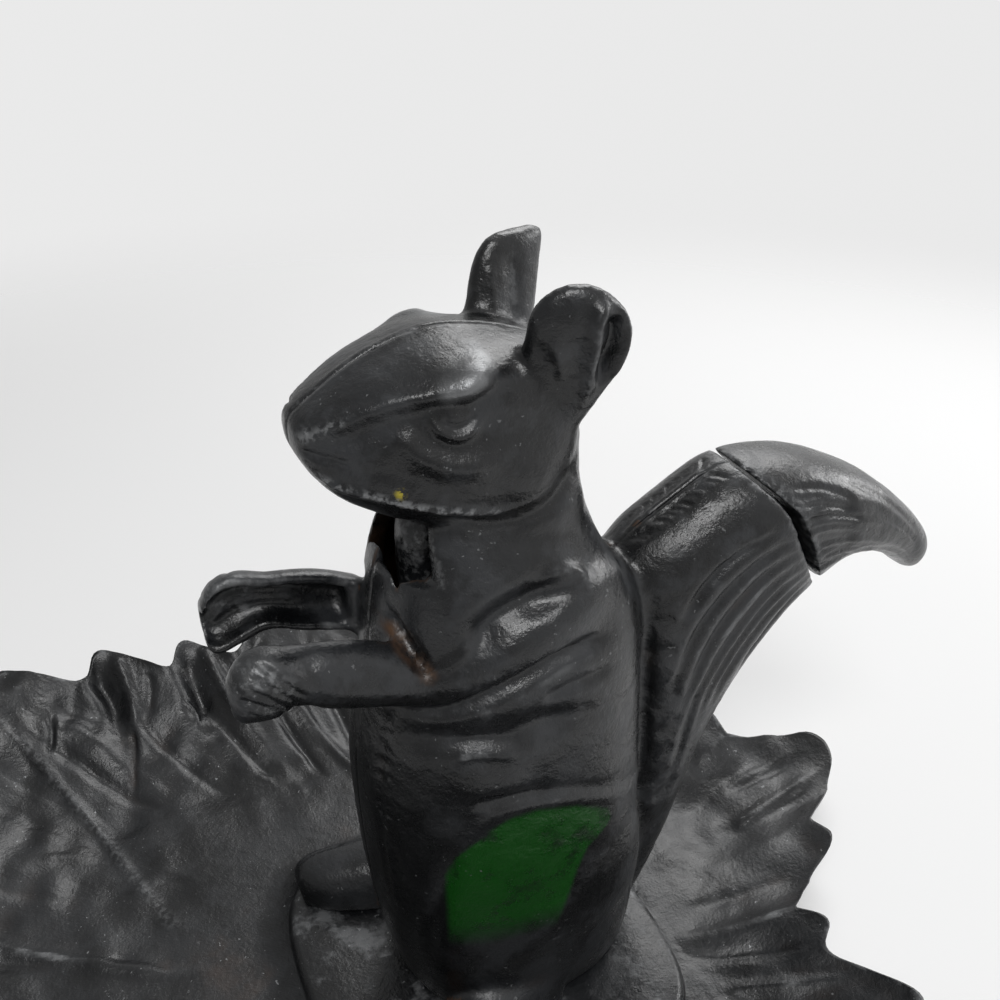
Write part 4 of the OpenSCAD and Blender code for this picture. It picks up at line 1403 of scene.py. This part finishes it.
class NUTCRACKER_OT_leaf_tray(bpy.types.Operator):
    """Build the leaf tray with its folded, toothed rim"""

    bl_idname = "nutcracker.leaf_tray"
    bl_label = "Leaf tray"

    def execute(self, context):
        size = context.scene.nutcracker_leaf
        tray = gather("leaf_tray_casting", lambda bm: loft(bm, leaf_rings(size)))
        tray.data.transform(Matrix.Translation(-SEAT))
        holes = []
        for x in TRAY_SCREW_X:
            for y in (-TRAY_SCREW_Y, TRAY_SCREW_Y):
                holes.append(lambda bm, x=x, y=y: post(bm, (x, y), TRAY_BORE, -9, 2))
                holes.append(lambda bm, x=x, y=y: post(bm, (x, y), TRAY_HEAD_BORE, -9, -3.8))
        cut(tray, "DIFFERENCE", *holes)
        buckle(tray)
        refine(tray, (-130, 56, -20), (-40, 132, 30))
        carve(tray, leaf_strokes())
        weather(tray, 0.05, 57)
        skin = Skin(tray)
        skin.co[:, 1] = np.clip(skin.co[:, 1], -size.width / 2, size.width / 2)
        skin.co[:, 2] = np.maximum(skin.co[:, 2], -SEAT.z)
        skin.write()
        # wear on the raised vein, which is also a painted highlight
        vein_wear_and_highlight = along(skin.co[:, 0], skin.co[:, 1], LEAF_VEINS[0][0], 2.2, full=1, steps=12)
        skin.keep("scuff", vein_wear_and_highlight * 0.4)
        skin.fill(dust=1, rust=0, green=0, yellow=0, rubbed=0)
        paint = black_paint("black_paint_leaf", context.scene.nutcracker_finish, **LEAF_PAINT)
        finish(tray, "body", "leaf_tray", paint)
        return {"FINISHED"}


# ------------------------------------------------------------------ fasteners and stage


class NUTCRACKER_OT_fasteners(bpy.types.Operator):
    """Give the pin and the screws their steel"""

    bl_idname = "nutcracker.fasteners"
    bl_label = "Pin and screws"

    def execute(self, context):
        steel = old_steel("old_steel", context.scene.nutcracker_finish)
        for name in ("pivot_pin", "neck_clamp_screw", "haunch_clamp_screw", "tail_clamp_screw",
                     "tray_screws"):
            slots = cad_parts[name].material_slots
            if not slots:
                raise RuntimeError(f"{name} has no material slot")
            for s in slots:
                s.material = steel
        return {"FINISHED"}


def lamp(name, energy, size, place, aim):
    light = bpy.data.lights.new(name, "AREA")
    light.energy = energy
    light.size = size
    holder = bpy.data.objects.new(name, light)
    bpy.context.scene.collection.objects.link(holder)
    holder.location = place
    holder.rotation_euler = (Vector(aim) - Vector(place)).to_track_quat("-Z", "Y").to_euler()


def lay_floor(studio):
    """A pale disc that fades out into the room."""
    bm = bmesh.new()
    bmesh.ops.create_circle(bm, cap_ends=True, segments=96, radius=FLOOR_R)
    mesh = bpy.data.meshes.new("studio_floor")
    bm.to_mesh(mesh)
    bm.free()
    ground = bpy.data.objects.new("studio_floor", mesh)
    bpy.context.scene.collection.objects.link(ground)
    f = Finish("pale_floor")
    away = f.node("ShaderNodeVectorMath", "Value", {0: f.place}, operation="LENGTH")
    mesh.materials.append(f.shade({
        "Base Color": f.mix(f.noise(3, 3), studio.floor, [c * 0.985 for c in studio.floor]),
        "Roughness": 0.85,
        "Specular IOR Level": 0.2,
        "Alpha": f.range(away, 0.35, 0.8, 1.0, 0.0),
        "Emission Color": (1.0, 1.0, 1.0),
        "Emission Strength": f.math("MULTIPLY", f.seen(), studio.glow),
    }))


def paint_room(studio):
    """Even light all round, and pale walls that are brightest towards the window."""
    world = bpy.data.worlds.new("studio_room")
    bpy.context.scene.world = world
    world.use_nodes = True
    room = Nodes(world.node_tree, "Generated")
    way = room.node("ShaderNodeVectorMath", "Value", {0: room.place, 1: TO_WINDOW},
                    operation="DOT_PRODUCT")
    shade = room.range(way, -0.3, 0.6, 0.45, 1.0, "LINEAR")
    shade = room.math("MAXIMUM", shade, room.node("ShaderNodeLightPath", "Is Camera Ray"))
    strength = room.range(room.seen(), 0.0, 1.0, studio.sky, studio.wall, "LINEAR")
    back = room.tree.nodes["Background"].inputs
    room.feed(back["Strength"], room.math("MULTIPLY", strength, shade))
    room.feed(back["Color"], (1.0, 1.0, 1.0))


class NUTCRACKER_OT_stage(bpy.types.Operator):
    """Lay the floor, set the lights and place the camera"""

    bl_idname = "nutcracker.stage"
    bl_label = "Studio"

    def execute(self, context):
        studio = context.scene.nutcracker_studio
        lay_floor(studio)
        for name, size, place, aim in LAMPS:
            lamp(name, getattr(studio, name), size, place, aim)
        paint_room(studio)
        context.scene.view_settings.view_transform = "Standard"

        camera = bpy.data.objects.new("camera", bpy.data.cameras.new("camera"))
        context.scene.collection.objects.link(camera)
        camera.data.lens = studio.lens
        camera.data.sensor_width = 36.0
        camera.data.clip_start = 0.01
        camera.location = CAMERA_PLACE
        camera.rotation_euler = [math.radians(a) for a in CAMERA_TURN]
        context.scene.camera = camera
        return {"FINISHED"}


class NUTCRACKER_PT_sidebar(bpy.types.Panel):
    """Lists the pieces and their settings"""

    bl_idname = "NUTCRACKER_PT_sidebar"
    bl_label = "Squirrel nutcracker"
    bl_space_type = "VIEW_3D"
    bl_region_type = "UI"
    bl_category = "Nutcracker"

    def draw(self, context):
        for group in (context.scene.nutcracker_casting, context.scene.nutcracker_leaf,
                      context.scene.nutcracker_finish, context.scene.nutcracker_studio):
            box = self.layout.box()
            for name in group.bl_rna.properties.keys():
                if name not in ("rna_type", "name"):
                    box.prop(group, name)
        for step in STEPS:
            self.layout.operator(step.bl_idname)


STEPS = (NUTCRACKER_OT_stage, NUTCRACKER_OT_left_half, NUTCRACKER_OT_right_half,
         NUTCRACKER_OT_tail_lever, NUTCRACKER_OT_leaf_tray, NUTCRACKER_OT_fasteners)
SETTINGS = {
    "nutcracker_casting": CastingSettings,
    "nutcracker_leaf": LeafSettings,
    "nutcracker_finish": FinishSettings,
    "nutcracker_studio": StudioSettings,
}


def register():
    for cls in (*SETTINGS.values(), *STEPS, NUTCRACKER_PT_sidebar):
        bpy.utils.register_class(cls)
    for name, cls in SETTINGS.items():
        setattr(bpy.types.Scene, name, PointerProperty(type=cls))


def unregister():
    for name in SETTINGS:
        delattr(bpy.types.Scene, name)
    for cls in (NUTCRACKER_PT_sidebar, *reversed(STEPS), *reversed(SETTINGS.values())):
        bpy.utils.unregister_class(cls)


def main():
    register()
    bpy.ops.nutcracker.stage()
    bpy.ops.nutcracker.left_half()
    bpy.ops.nutcracker.right_half()
    bpy.ops.nutcracker.tail_lever()
    bpy.ops.nutcracker.leaf_tray()
    bpy.ops.nutcracker.fasteners()


if __name__ == "__main__":
    main()
